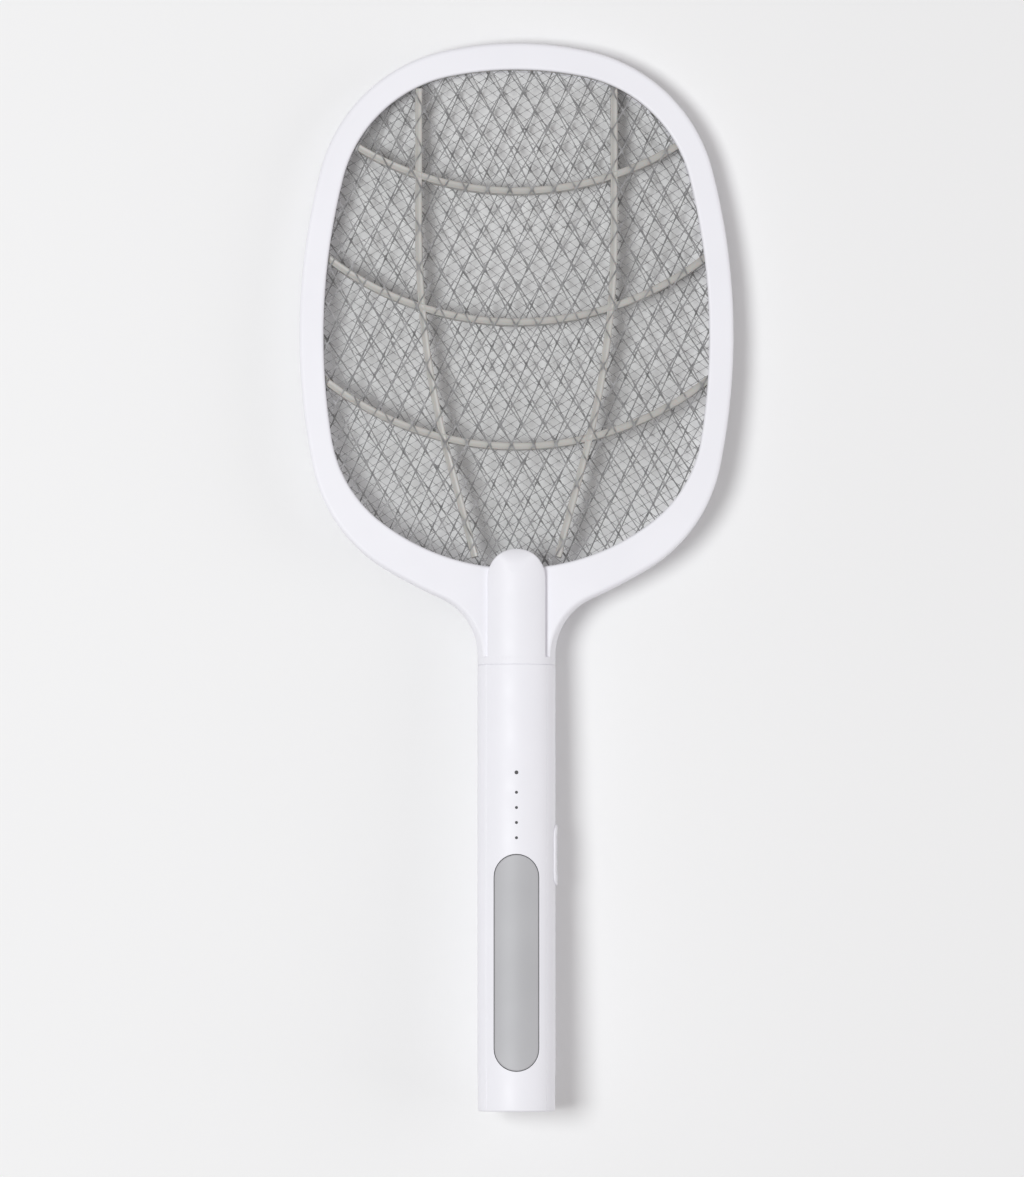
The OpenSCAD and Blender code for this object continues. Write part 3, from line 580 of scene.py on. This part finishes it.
def barrel():
    """The raised barrel on the front of the neck, with its domed end and rounded upper edge."""
    edge_r = 0.45
    cap_y = BARREL_END_Y - BARREL_HALF_W
    nose_y, nose_r = 2.0, 14.0
    blend, near_z = 0.35, 30
    straight_steps, cap_steps = 30, 41
    insets = (0, 0.035, 0.13, 0.27, 0.45, 1, 2, 3, 4.5, 6, 7.5, 9, 10.5, 12, 13)

    def top_z(x, y):
        """The handle's round, which gives way softly to the nose's round. near_z keeps the powers small."""
        z = surface_z(x)
        if y > nose_y:
            z_nose = 2 * AXIS_Z - nose_r + math.sqrt(nose_r ** 2 - (y - nose_y) ** 2)
            powers = [math.exp(-(h - near_z) / blend) for h in (z, z_nose)]
            z = near_z - blend * math.log(sum(powers))
        return z

    grid, under = [], []
    for d in insets:
        r = BARREL_HALF_W - d
        loop = [(-r, y) for y in np.linspace(SEAM_Y, cap_y, straight_steps)[:-1]]
        loop += [(-r * cos(a), cap_y + r * sin(a)) for a in np.linspace(0, 180, cap_steps)]
        loop += [(r, y) for y in np.linspace(cap_y, SEAM_Y, straight_steps)[1:]]
        drop = edge_drop(edge_r, d)
        grid.append([(x, y, top_z(x, y) - drop) for x, y in loop])
        under.append([(x, y, CAVITY_TOP_Z) for x, y in loop])
    return plate("barrel", grid, under)


def back_barrel():
    """The full round of the neck on the back, which runs out in a curved nose."""
    nose_y, end_y = NECK_REST_Y, 2.0
    overlap, top_overlap, blend = 0.6, 1.8, 0.5
    nose_r = ((end_y - nose_y) ** 2 + BACK_Z ** 2) / (2 * BACK_Z)
    half_w = math.sqrt(HANDLE_R ** 2 - (AXIS_Z - BACK_Z - overlap) ** 2)
    limit = math.degrees(math.asin(half_w / HANDLE_R))
    grid, over = [], []
    for y in np.linspace(SEAM_Y, end_y, 44):
        row = []
        for a in np.linspace(-limit, limit, 61):
            z = AXIS_Z - HANDLE_R * cos(a)
            if y > nose_y:
                z_nose = nose_r - math.sqrt(nose_r ** 2 - (y - nose_y) ** 2)
                excess = blend * math.log(2) * math.exp(-abs(z - z_nose))
                z = blend * math.log(math.exp(z / blend) + math.exp(z_nose / blend)) - excess
            row.append((HANDLE_R * sin(a), y, min(z, BACK_Z + overlap)))
        grid.append(row)
        over.append([(x, y, BACK_Z + top_overlap) for x, y, _ in row])
    return plate("back_barrel", grid, over)


def collar_and_spigot(side):
    """Half of the collar behind the seam and of the spigot that reaches into the handle."""
    spigot_r, spigot_y, spigot_bevel = HANDLE_R - 2.1, SEAM_Y - SPIGOT_L, 0.6
    shoulder_y, shoulder_bevel = SEAM_Y + 0.02, 0.3
    end_y, end_round = SEAM_Y + COLLAR_L, 0.4
    profile = [
        (spigot_r - spigot_bevel, spigot_y), (spigot_r, spigot_y + spigot_bevel), (spigot_r, shoulder_y),
        (HANDLE_R - shoulder_bevel, shoulder_y), (HANDLE_R, SEAM_Y + shoulder_bevel),
        (HANDLE_R, end_y - end_round), (HANDLE_R - 0.1, end_y - 0.12), (HANDLE_R - end_round, end_y),
    ]
    return boolean(lathe_y("collar", profile, n=128), half_space(side > 0), op="INTERSECT")


def cavity(side):
    """The hollow of a half behind its wall, which holds the meshes and spacers."""
    overlap, wall, end_y = 1, 2.0, -13.0
    z0, z1 = (MID_Z - overlap, CAVITY_TOP_Z) if side > 0 else (CAVITY_FLOOR_Z, MID_Z + overlap)
    right = [rim_at(h, -wall) for h in np.linspace(0, FILLET_HEADING, 90)]
    hollow = [fillet_at(h, -wall) for h in np.linspace(FILLET_HEADING, 100, 40)[1:]]
    right += [p for p in hollow if p[1] > end_y]
    right.append((right[-1][0], end_y))
    return prism("cavity", both_sides(right), z0, z1)


SCREW_INSET = 7.2
SCREW_PLACES = [(0, opening_at(0, SCREW_INSET)[1])]
for screw_heading in (40, 76, 100, 130):
    screw_x, screw_y = opening_at(screw_heading, SCREW_INSET)
    SCREW_PLACES += [(screw_x, screw_y), (-screw_x, screw_y)]


def rods(r, z0, z1):
    """A rod along Z at each of the head's screws."""
    return [rod_z(r, place, z0, z1) for place in SCREW_PLACES]


def neck_bore():
    """The hollow of the neck, from behind the spigot's end to the cavity."""
    bore_r, end_y = 13, -12
    return lathe_y("bore", [(bore_r, SEAM_Y - SPIGOT_L - 1), (bore_r, end_y)])


def front_frame():
    boss_r, pilot_r, root = 2, 0.8, 0.4
    head = slab_half(1)
    boolean(head, barrel(), collar_and_spigot(1), op="UNION")
    boolean(head, cavity(1), neck_bore())
    boolean(head, *rods(boss_r, MID_Z, CAVITY_TOP_Z + root), op="UNION")
    return boolean(head, *rods(pilot_r, MID_Z - 1, CAVITY_TOP_Z))


def countersunk(r, centre, z_low, z_top):
    """A cutter for a screw hole from below, whose mouth at z_low is rounded off."""
    rings = [(r + 0.9, z_low - 0.6), (r + 0.3, z_low), (r + 0.08, z_low + 0.12), (r, z_low + 0.3), (r, z_top)]
    return loft("hole", [[(x, y, z) for x, y in circle(q, 40, centre)] for q, z in rings])


def rear_frame():
    boss_r, seat_r, seat_depth, shank_r, root = 3, 1.85, 1.4, 1.15, 0.4
    head = slab_half(-1)
    boolean(head, back_barrel(), collar_and_spigot(-1), op="UNION")
    boolean(head, cavity(-1), neck_bore())
    boolean(head, *rods(boss_r, CAVITY_FLOOR_Z - root, MID_Z), op="UNION")
    boolean(head, *[countersunk(seat_r, place, BACK_Z, BACK_Z + seat_depth) for place in SCREW_PLACES])
    return boolean(head, *rods(shank_r, BACK_Z, MID_Z + 1))


finish(front_frame(), "head_front", "shell_white", RACKET, ["front_frame"])
finish(rear_frame(), "head_rear", "shell_white", RACKET, ["rear_frame"])


# ---------------------------------------------------------------- spacers

RIB_W = 3.2
RIB_ARC_R = 139
RIB_ARC_LOWS = (173.5, 114.3, 58.3)
UPRIGHT_X, UPRIGHT_TOP_Y, UPRIGHT_BEND_Y, UPRIGHT_R, UPRIGHT_TURN = 44, 226, 156, 400, 15
# How far the ribs reach under the rim, and between which distances from the opening the ring lies
RIB_REACH = 2.5
RING_IN, RING_OUT = 0.6, 5.0


def opening_half_width(y, d=0.0):
    """Half the opening's width at y, grown by d."""
    points = [opening_at(h, d) for h in np.linspace(0, 180, 361)]
    ys = [p[1] for p in points][::-1]
    xs = [p[0] for p in points][::-1]
    return float(np.interp(y, ys, xs, left=0, right=0))


def rib(path, z0, z1):
    """A bar along a path in the plane, with softened upper and lower edges and a shallow channel on top."""
    w, h = RIB_W / 2, z1 - z0
    edge, channel = 0.45, 0.22
    soft = edge * 0.3
    section = [
        (-w, edge), (-w, h - edge), (-w + soft, h - soft), (-w + edge, h), (-w + 2 * edge, h - channel),
        (w - 2 * edge, h - channel), (w - edge, h), (w - soft, h - soft), (w, h - edge),
        (w, edge), (w - edge, 0), (-w + edge, 0),
    ]
    rings = []
    last = len(path) - 1
    for i, (x, y) in enumerate(path):
        (ax, ay), (bx, by) = path[max(i - 1, 0)], path[min(i + 1, last)]
        k = math.hypot(bx - ax, by - ay)
        nx, ny = -(by - ay) / k, (bx - ax) / k
        rings.append([(x + nx * s, y + ny * s, z0 + t) for s, t in section])
    return loft("rib", rings)


def arc_path(low):
    """A hanging arc whose lowest point is at y = low, as far as the rim covers its ends."""
    def at(a):
        return (RIB_ARC_R * sin(a), low + RIB_ARC_R - RIB_ARC_R * cos(a))

    inside = [a for a in np.linspace(0, 60, 601) if at(a)[0] < opening_half_width(at(a)[1], RIB_REACH)]
    return [at(a) for a in np.linspace(-inside[-1], inside[-1], 61)]


def upright_path(side):
    """An upright from the top, straight at first, then bending towards the middle and straight again."""
    path = [(UPRIGHT_X, y) for y in np.linspace(UPRIGHT_TOP_Y, UPRIGHT_BEND_Y, 12)[:-1]]
    path += [(UPRIGHT_X - UPRIGHT_R * (1 - cos(a)), UPRIGHT_BEND_Y - UPRIGHT_R * sin(a))
             for a in np.linspace(0, UPRIGHT_TURN, 16)]
    x, y = path[-1]
    path += [(x - t * sin(UPRIGHT_TURN), y - t * cos(UPRIGHT_TURN)) for t in np.linspace(0, 100, 12)[1:]]
    return [(side * px, py) for px, py in path if px < opening_half_width(py, RIB_REACH)]


def spacer(upper_node, lower_node):
    """A ring under the rim, with ribs across the opening, that keeps two meshes apart."""
    low_gap, high_gap = 0.05, 0.1
    z0 = box_mm(lower_node)[1].z + low_gap
    z1 = box_mm(upper_node)[0].z - high_gap
    loops = []
    for d, z in ((RING_IN, z0), (RING_IN, z1), (RING_OUT, z1), (RING_OUT, z0)):
        outline = both_sides([opening_at(h, d) for h in np.linspace(0, 180, 121)])
        loops.append([(x, y, z) for x, y in outline])
    paths = [arc_path(low) for low in RIB_ARC_LOWS] + [upright_path(side) for side in (-1, 1)]
    ring = loft("ring", loops, wrap=True)
    return boolean(ring, *[rib(path, z0, z1) for path in paths], op="UNION")


finish(spacer("front_mesh", "middle_mesh"), "spacer_front", "spacer_greige", RACKET,
       ["front_spacer"])
finish(spacer("middle_mesh", "rear_mesh"), "spacer_rear", "spacer_greige", RACKET,
       ["rear_spacer"])


# ---------------------------------------------------------------- meshes

SHEET_T = 0.15
# How far a lattice reaches from its centre before it is cut to its outline
LATTICE_X, LATTICE_Y = 112, 138
# How far the meshes reach under the rim
MESH_MARGIN = 4.9
TAB_X, TAB_W, TAB_END_Y = 4, 4, -6.2


def border_walls(faces, shared):
    """Quads that close a lattice's outer border. shared: the index of each upper and lower shared point."""
    edges = {}
    for f in faces:
        for k in range(len(f)):
            edge = (f[k - 1], f[k])
            edges.setdefault(frozenset(edge), []).append(edge)
    levels = {}
    for (kx, ky, is_upper), v in shared.items():
        levels.setdefault((kx, ky), {})[is_upper] = v
    below = {pair[True]: pair[False] for pair in levels.values()}
    walls = []
    for uses in edges.values():
        a, b = uses[0]
        if len(uses) == 1 and a in below and b in below:
            walls.append((b, a, below[a], below[b]))
    return walls


def lattice(z, centre, w, h, turn_x, turn_y, strand, along_y, tilt, steps, seed):
    """A sheet of diamonds w wide and h high, whose strands lean a little and are wider where they meet.

    centre: the middle of one diamond. turn_x, turn_y: how far the diamonds' two diagonals are turned.
    along_y: the diamonds' long way is Y, so a strand leans with X instead of with Y. tilt: by how much.
    steps: points round one diamond.
    """
    rng = random.Random(seed)
    jitter, strand_jitter, corner_pull, lean_gain = 0.04, 0.3, 0.045, 2.2
    key_scale, key_shift = 50, 0.137
    corners = [(w / 2, 0), (0, h / 2), (-w / 2, 0), (0, -h / 2)]
    reach = (w * h / 4) / math.hypot(w / 2, h / 2)
    hole = 1 - strand / 2 / reach
    verts, faces, shared = [], [], {}

    def vertex(x, y, dz, is_shared=False):
        """Adds a point, or finds it where a neighbour has already added it."""
        if is_shared:
            key = (round(x * key_scale + key_shift), round(y * key_scale + key_shift), dz > 0)
            if key in shared:
                return shared[key]
            shared[key] = len(verts)
        verts.append((centre[0] + x * cos(turn_x) - y * sin(turn_y),
                      centre[1] + x * sin(turn_x) + y * cos(turn_y), z + dz))
        return len(verts) - 1

    def on_diamond(k, scale, pull):
        """Point k of a diamond, whose corners are pulled in."""
        quarter = steps // 4
        side, t = divmod(k, quarter)
        t /= quarter
        x, y = lerp(corners[side % 4], corners[(side + 1) % 4], t)
        kept = 1 - pull * (2 * abs(t - 0.5)) ** 3
        return x * scale * kept, y * scale * kept

    def cell(cx, cy, scale):
        """The faces of one diamond's share of the strands: top, hole wall and underside."""
        rings = [[], [], [], []]
        for k in range(steps):
            bx, by = on_diamond(k, 1, 0)
            hx, hy = on_diamond(k, scale, corner_pull)
            lean = hx / (w / 2) if along_y else hy / (h / 2)
            lean = tilt * max(-1, min(1, lean * lean_gain))
            rings[0].append(vertex(cx + bx, cy + by, SHEET_T / 2, is_shared=True))
            rings[1].append(vertex(cx + hx, cy + hy, SHEET_T / 2 + lean))
            rings[2].append(vertex(cx + hx, cy + hy, -SHEET_T / 2 + lean))
            rings[3].append(vertex(cx + bx, cy + by, -SHEET_T / 2, is_shared=True))
        for outer, inner in zip(rings, rings[1:]):
            for k in range(steps):
                m = (k + 1) % steps
                faces.append((outer[k], outer[m], inner[m], inner[k]))

    columns, rows = math.ceil(LATTICE_X / w), math.ceil(LATTICE_Y / h)
    for i in range(-columns, columns + 1):
        for j in range(-rows, rows + 1):
            for shift in (0, 0.5):
                if shift and (i == columns or j == rows):
                    continue
                scale = hole + rng.uniform(-jitter, jitter) * strand_jitter
                cell((i + shift) * w, (j + shift) * h, scale)
    sheet = mesh_object("lattice", verts, faces + border_walls(faces, shared))
    return clean(sheet, distance=LATTICE_WELD)


def expanded(z, tab_side, **shape):
    """A mesh of expanded metal, cut to its outline under the rim, with a contact tab at its foot."""
    cut_reach = 3
    sheet = lattice(z, **shape)
    outline = both_sides([opening_at(a, MESH_MARGIN) for a in np.linspace(0, 180, 121)])
    boolean(sheet, prism("outline", outline, z - cut_reach, z + cut_reach), op="INTERSECT")
    largest_island(sheet)
    x0, x1 = tab_side * TAB_X - TAB_W / 2, tab_side * TAB_X + TAB_W / 2
    y0, y1 = TAB_END_Y, FOOT_Y + 0.5
    tab = prism("tab", [(x0, y0), (x1, y0), (x1, y1), (x0, y1)], z - SHEET_T / 2, z + SHEET_T / 2)
    return boolean(sheet, tab, op="UNION")


COARSE = {"strand": 0.42, "along_y": True, "tilt": 0.05, "steps": 16}
FINE = {"strand": 0.14, "along_y": False, "tilt": 0.04, "steps": 8}
front_mesh = expanded(middle_z("front_mesh"), tab_side=-1, centre=(0, 121), w=9.95, h=17.7,
                      turn_x=-0.3, turn_y=-2.1, seed=3, **COARSE)
middle_mesh = expanded(middle_z("middle_mesh"), tab_side=1, centre=(0, 118), w=6.4, h=4.3,
                       turn_x=-4.5, turn_y=-3, seed=5, **FINE)
rear_mesh = expanded(middle_z("rear_mesh"), tab_side=-1, centre=(2, 122), w=9.8, h=17.6,
                     turn_x=4.3, turn_y=5.3, seed=7, **COARSE)
finish(front_mesh, "mesh_front", "mesh_metal", RACKET, ["front_mesh"], crease=40)
finish(middle_mesh, "mesh_middle", "mesh_metal", RACKET, ["middle_mesh"], crease=40)
finish(rear_mesh, "mesh_rear", "mesh_metal", RACKET, ["rear_mesh"], crease=40)


# ---------------------------------------------------------------- handle

BORE_R = HANDLE_R - 2
# The handle's last stretch, which a holder takes, is slightly thinner
SEAT_R = HANDLE_R - 0.2
SEAT_Y = END_Y + 14
SEAT_TAPER = 6
SEAM_BEVEL = 0.3
END_ROUND = 0.9
PARTING_GROOVE = 0.15
PARTING_ANGLE = math.degrees(math.asin(PARTING_X / HANDLE_R))


def handle_stations():
    """(y, change of the outer radius) along the handle, with its rounded end, the seat and the seam."""
    seat = SEAT_R - HANDLE_R
    out = [(END_Y + END_ROUND * (1 - cos(a)), seat - END_ROUND * (1 - sin(a))) for a in range(0, 91, 18)]
    out += [(y, seat) for y in np.linspace(END_Y + END_ROUND, SEAT_Y, 4)[1:]]
    out += [(SEAT_Y + SEAT_TAPER * t, seat * (1 - smooth(t))) for t in np.linspace(0, 1, 9)[1:-1]]
    out += [(y, 0) for y in np.linspace(SEAT_Y + SEAT_TAPER, SEAM_Y - SEAM_BEVEL, 48)]
    out.append((SEAM_Y - 0.02, -SEAM_BEVEL))
    return out


def shell(a0, a1, steps):
    """A shell of the handle between two angles from the top, whose parting edges are slightly bevelled."""
    between = list(np.linspace(a0, a1, steps + 1))[1:-1]
    bevel = math.degrees(PARTING_GROOVE / HANDLE_R)
    angles = [a0, a0 + bevel, *between, a1 - bevel, a1]
    inner = [a0, *angles[2:-2], a1]
    rings = []
    for y, change in handle_stations():
        ring = []
        for i, a in enumerate(angles):
            edge = PARTING_GROOVE * 0.8 if i in (0, len(angles) - 1) else 0
            r = HANDLE_R + change - edge
            ring.append((r * sin(a), y, AXIS_Z + r * cos(a)))
        ring += [(BORE_R * sin(a), y, AXIS_Z + BORE_R * cos(a)) for a in reversed(inner)]
        rings.append(ring)
    return loft("shell", rings)


# The trigger bar as it shows in its slot: the CAD node's box is larger because of its flange
TRIGGER_W, TRIGGER_L, TRIGGER_Y, TRIGGER_GAP = 19.8, 96.6, -173.6, 0.25
# Y of the five dots, of which the first is larger
DOT_YS = (-88.6, -97.5, -104.3, -111, -117.8)
FIRST_DOT_R, DOT_R = 0.8, 0.6


def trigger_slot():
    """Cuts the trigger's slot down into the front of the handle, with its mouth rounded off."""
    length, width = TRIGGER_L + 2 * TRIGGER_GAP, TRIGGER_W + 2 * TRIGGER_GAP
    round_r, depth = 0.3, 14
    mouth = round_r * 2.2

    def flat(d, z):
        return [(y, TRIGGER_Y + x, z) for x, y in pill(length, width, d)]

    rings = [flat(mouth, 2 * HANDLE_R + 1)]
    for d, h in ((mouth, -round_r * 1.2), (round_r, 0), (round_r * 0.29, round_r * 0.29), (0, round_r)):
        rings.append([(y, TRIGGER_Y + x, surface_z(y) - h) for x, y in pill(length, width, d)])
    rings.append(flat(0, 2 * HANDLE_R - depth))
    return loft("slot", rings)


def dot_hole(y, r):
    """Cuts the recess of an indicator dot, with a soft mouth."""
    rings = [(r + 0.35, 35.4), (r + 0.12, 35.0), (r + 0.05, 34.9), (r + 0.05, 30)]
    return loft("dot", [[(x, q, z) for x, q in circle(k, 32, (0, y))] for k, z in rings])


def front_shell():
    obj = shell(-PARTING_ANGLE, PARTING_ANGLE, 56)
    boolean(obj, trigger_slot())
    dots = [dot_hole(y, DOT_R if i else FIRST_DOT_R) for i, y in enumerate(DOT_YS)]
    return boolean(obj, *dots)


HANDLE_SCREWS = [(x, y) for x in (-8.5, 8.5) for y in (-70, -229)]
NECK_SCREW = (0, SEAM_Y - 9)
bezel_low, bezel_high = box_mm("switch_bezel")
BEZEL_Y, BEZEL_Z = (bezel_low.y + bezel_high.y) / 2, (bezel_low.z + bezel_high.z) / 2
BEZEL_L, BEZEL_W = bezel_high.y - bezel_low.y, bezel_high.z - bezel_low.z


def side_x(z, r):
    """Distance from the middle plane of a surface of radius r on the handle's right side."""
    return math.sqrt(max(r * r - (z - AXIS_Z) ** 2, 0))


def side_loop(loop, x_of):
    """Points on the handle's right side round the bezel's middle. x_of: the distance from a height."""
    return [(x_of(BEZEL_Z + z), BEZEL_Y + y, BEZEL_Z + z) for y, z in loop]


def rear_shell():
    obj = shell(PARTING_ANGLE, 360 - PARTING_ANGLE, 144)
    rings = []
    for d, depth in ((0.5, -0.6), (0.22, 0), (0.06, 0.08), (0.02, 0.3), (0.02, 4)):
        rings.append(side_loop(pill(BEZEL_L, BEZEL_W, d), lambda z, k=depth: side_x(z, HANDLE_R) - k))
    boolean(obj, loft("recess", rings))
    for place in HANDLE_SCREWS:
        low = AXIS_Z - math.sqrt(HANDLE_R ** 2 - place[0] ** 2)
        boolean(obj, countersunk(2.3, place, low - 0.2, 12))
    return boolean(obj, countersunk(2.2, NECK_SCREW, 0, 3))


finish(front_shell(), "handle_front", "shell_white", RACKET, ["handle_front_shell"])
finish(rear_shell(), "handle_rear", "shell_white", RACKET, ["handle_rear_shell"])


def trigger():
    """The trigger bar: a solid whose top follows the handle's round and has a rounded edge."""
    edge, low, below = 0.55, AXIS_Z + 10.5, 0.02
    insets = (0, 0.04, 0.16, 0.34, 0.55, 0.75, 1.2, 2, 3.2, 4.6, 6, 7.4, 8.8, TRIGGER_W / 2)
    levels = [[(y, TRIGGER_Y + x, low) for x, y in pill(TRIGGER_L, TRIGGER_W)]]
    for d in insets:
        down = below + edge_drop(edge, d)
        levels.append([(y, TRIGGER_Y + x, surface_z(y) - down) for x, y in pill(TRIGGER_L, TRIGGER_W, -d)])
    return loft("bar", levels)


finish(trigger(), "trigger", "trigger_grey", TRIGGER, ["trigger_bar"])


# The switch's bezel and knob stand this far out of the handle's round
SWITCH_RISE = 0.9


def bezel():
    """A rounded frame round the knob's recess, with a slot in the recess for the knob's stem."""
    round_r, inner_round, gap = 0.45, 0.27, 0.03
    recess_l, recess_w, slot_l, slot_w = 19.7, 5.0, 7.4, 3.6
    floor_x, low_x = HANDLE_R - 0.5, HANDLE_R - 1.48
    rings = []

    def ring(length, width, d, x_of):
        rings.append(side_loop(pill(length, width, d), x_of))

    def top(z):
        return side_x(z, HANDLE_R + SWITCH_RISE)

    def at_floor(_):
        return floor_x

    def at_low(_):
        return low_x

    ring(BEZEL_L, BEZEL_W, -gap, at_low)
    for a in (0, 30, 60, 90):
        inset, down = round_r * (1 - cos(a)), round_r * (1 - sin(a))
        ring(BEZEL_L, BEZEL_W, -gap - inset, lambda z, k=down: top(z) - k)
    for a in (90, 60, 30, 0):
        outset, down = inner_round * (1 - cos(a)), inner_round * (1 - sin(a))
        ring(recess_l, recess_w, outset, lambda z, k=down: top(z) - k)
    ring(recess_l, recess_w, 0, at_floor)
    ring(slot_l, slot_w, 0, at_floor)
    ring(slot_l, slot_w, 0, at_low)
    return loft("bezel", rings, wrap=True)


def knob():
    """A sliding knob with rounded edges and seven grip ridges."""
    low, high = box_mm("switch_knob")
    mid_y, mid_z = (low.y + high.y) / 2, (low.z + high.z) / 2
    length, half_w = 17.5, 2.3
    edge, ridge_h, pitch, ridges, valley, ridge_fade = 0.4, 0.28, 1.3, 7, -0.2, 0.7
    foot_x, stem_x, stem_y, stem_z = HANDLE_R - 0.4, HANDLE_R - 0.3, 2, 1.7
    top_r = HANDLE_R + SWITCH_RISE - ridge_h
    straight = length / 2 - half_w
    ys = [-length / 2 + half_w * (1 - (1 - t) ** 2) for t in np.linspace(0, 1, 12)]
    ys += [*np.linspace(-straight, straight, 150)[1:-1], *(-y for y in reversed(ys))]
    steps = (0.25, 0.5, 0.75, 0.87, 0.94, 0.985, 1)
    top, under = [], []
    for y in ys:
        past = max(abs(y) - straight, 0)
        reach = math.sqrt(max(half_w ** 2 - past ** 2, 0))
        row, low_row = [], []
        for u in (*(-s for s in reversed(steps)), 0, *steps):
            z = u * reach
            inside = half_w - abs(z)
            if past > 0:
                inside = min(half_w - math.hypot(past, z), reach * 2)
            lift = 0
            if abs(y) < pitch * ridges / 2:
                lift = ridge_h * max(cos(360 * y / pitch), valley) * smooth(inside / ridge_fade)
            height = lift - edge_drop(edge, max(inside, 0))
            row.append((side_x(mid_z + z, top_r) + height, mid_y + y, mid_z + z))
            low_row.append((foot_x, mid_y + y, mid_z + z))
        top.append(row)
        under.append(low_row)
    stem_outline = [(mid_y + a * stem_y, mid_z + b * stem_z) for a, b in ((-1, -1), (1, -1), (1, 1), (-1, 1))]
    stem = loft("stem", [[(x, y, z) for y, z in stem_outline] for x in (low.x, stem_x)])
    return boolean(plate("knob", top, under), stem, op="UNION")


finish(bezel(), "switch_surround", "shell_white", RACKET, ["switch_bezel"])
finish(knob(), "switch_slider", "knob_grey", SLIDER, ["switch_knob"])


def end_cap():
    """The cap in the handle's end, with a snap rib round it and the charging socket's opening."""
    rim_r, rib_r = BORE_R - 0.08, BORE_R + 0.85
    face_y, hollow_y, back_y, bevel = END_Y + 0.1, END_Y + 0.35, END_Y + 2.5, 0.3
    profile = [
        (1, hollow_y), (BORE_R - 2.2, hollow_y), (BORE_R - 1.9, face_y), (BORE_R - bevel, face_y),
        (rim_r, face_y + bevel), (rim_r, END_Y + 1.2), (rib_r, END_Y + 1.25),
        (rib_r, END_Y + 1.95), (rim_r, END_Y + 2), (rim_r, back_y), (1, back_y),
    ]
    cap = lathe_y("cap", profile, n=128)
    low, high = box_mm("charging_socket")
    mid_z, length, width = (low.z + high.z) / 2, high.x - low.x, high.z - low.z
    rings = []
    for d, depth in ((0.9, -0.4), (0.45, 0.3), (0.12, 0.55), (0.06, 0.8), (0.06, 4)):
        rings.append([(x, END_Y + depth, mid_z + z) for x, z in pill(length, width, d)])
    return boolean(cap, loft("port", rings))


finish(end_cap(), "handle_end_cap", "shell_white", RACKET, ["end_cap"])


# ---------------------------------------------------------------- floor, light and camera

# The swatter lies on the head's tip and on the neck's back, so the floor slopes a little in its frame.
SLOPE = math.atan2(BACK_Z, TIP_Y - NECK_REST_Y)
floor_turn = Matrix.Rotation(SLOPE, 4, "X")
floor_point = Vector((0, NECK_REST_Y * MM, -0.0003))

FLOOR_SIZE, FLOOR_CELLS = 16.0, 8
line = [FLOOR_SIZE * (i / FLOOR_CELLS - 0.5) for i in range(FLOOR_CELLS + 1)]
row_l = len(line)
cell_starts = [j * row_l + i for j in range(FLOOR_CELLS) for i in range(FLOOR_CELLS)]
floor = mesh_object("floor", [(x, y, 0) for y in line for x in line],
                    [(k, k + 1, k + row_l + 1, k + row_l) for k in cell_starts])
floor.matrix_world = Matrix.Translation(floor_point) @ floor_turn
floor.data.materials.append(MATERIAL["floor"])

up = (floor_turn @ Vector((0, 0, 1, 0))).xyz
along = (floor_turn @ Vector((0, 1, 0, 0))).xyz
right = Vector((1, 0, 0))


def soft_light(name, side, elevation, from_foot, distance, diameter, irradiance, color):
    """A round studio light aimed at the swatter's middle, given by where it stands.

    side: -1 on the left, 1 on the right. elevation: degrees above the floor. from_foot: degrees towards
    the handle's end. irradiance: how strongly it lights the swatter.
    """
    level = right * side * cos(from_foot) - along * sin(from_foot)
    towards = level * cos(elevation) + up * sin(elevation)
    light = bpy.data.lights.new(name, "AREA")
    light.shape, light.size = "DISK", diameter
    light.energy = irradiance * math.pi * distance ** 2
    light.color = color
    light_obj = bpy.data.objects.new(name, light)
    bpy.context.scene.collection.objects.link(light_obj)
    turn = towards.to_track_quat("Z", "Y").to_matrix().to_4x4()
    light_obj.matrix_world = Matrix.Translation(towards * distance) @ turn
    light_obj.visible_camera = False


soft_light("key", side=-1, elevation=67.5, from_foot=2, distance=2.5, diameter=0.92,
           irradiance=1.78, color=(0.965, 0.99, 1.0))
soft_light("fill", side=1, elevation=25, from_foot=0, distance=2.5, diameter=2.0,
           irradiance=0.66, color=(0.98, 0.985, 1.0))

world = bpy.data.worlds.new("studio")
world.use_nodes = True
background = next(n for n in world.node_tree.nodes if n.type == "BACKGROUND")
background.inputs["Color"].default_value = (1.0, 0.962, 0.96, 1)
background.inputs["Strength"].default_value = 0.4
bpy.context.scene.world = world

DISTANCE = 3.5
VIEW_HEIGHT = 0.5285
target = Vector((-2.0 * MM, -5.7 * MM, 22 * MM))
camera = bpy.data.cameras.new("camera")
camera.type = "PERSP"
camera.sensor_width = 36
camera.lens = camera.sensor_width * DISTANCE / VIEW_HEIGHT
camera_obj = bpy.data.objects.new("camera", camera)
bpy.context.scene.collection.objects.link(camera_obj)
look = Matrix((right, along, up)).transposed()
camera_obj.matrix_world = Matrix.Translation(target + up * DISTANCE) @ look.to_4x4()
bpy.context.scene.camera = camera_obj
bpy.context.scene.view_settings.view_transform = "Standard"
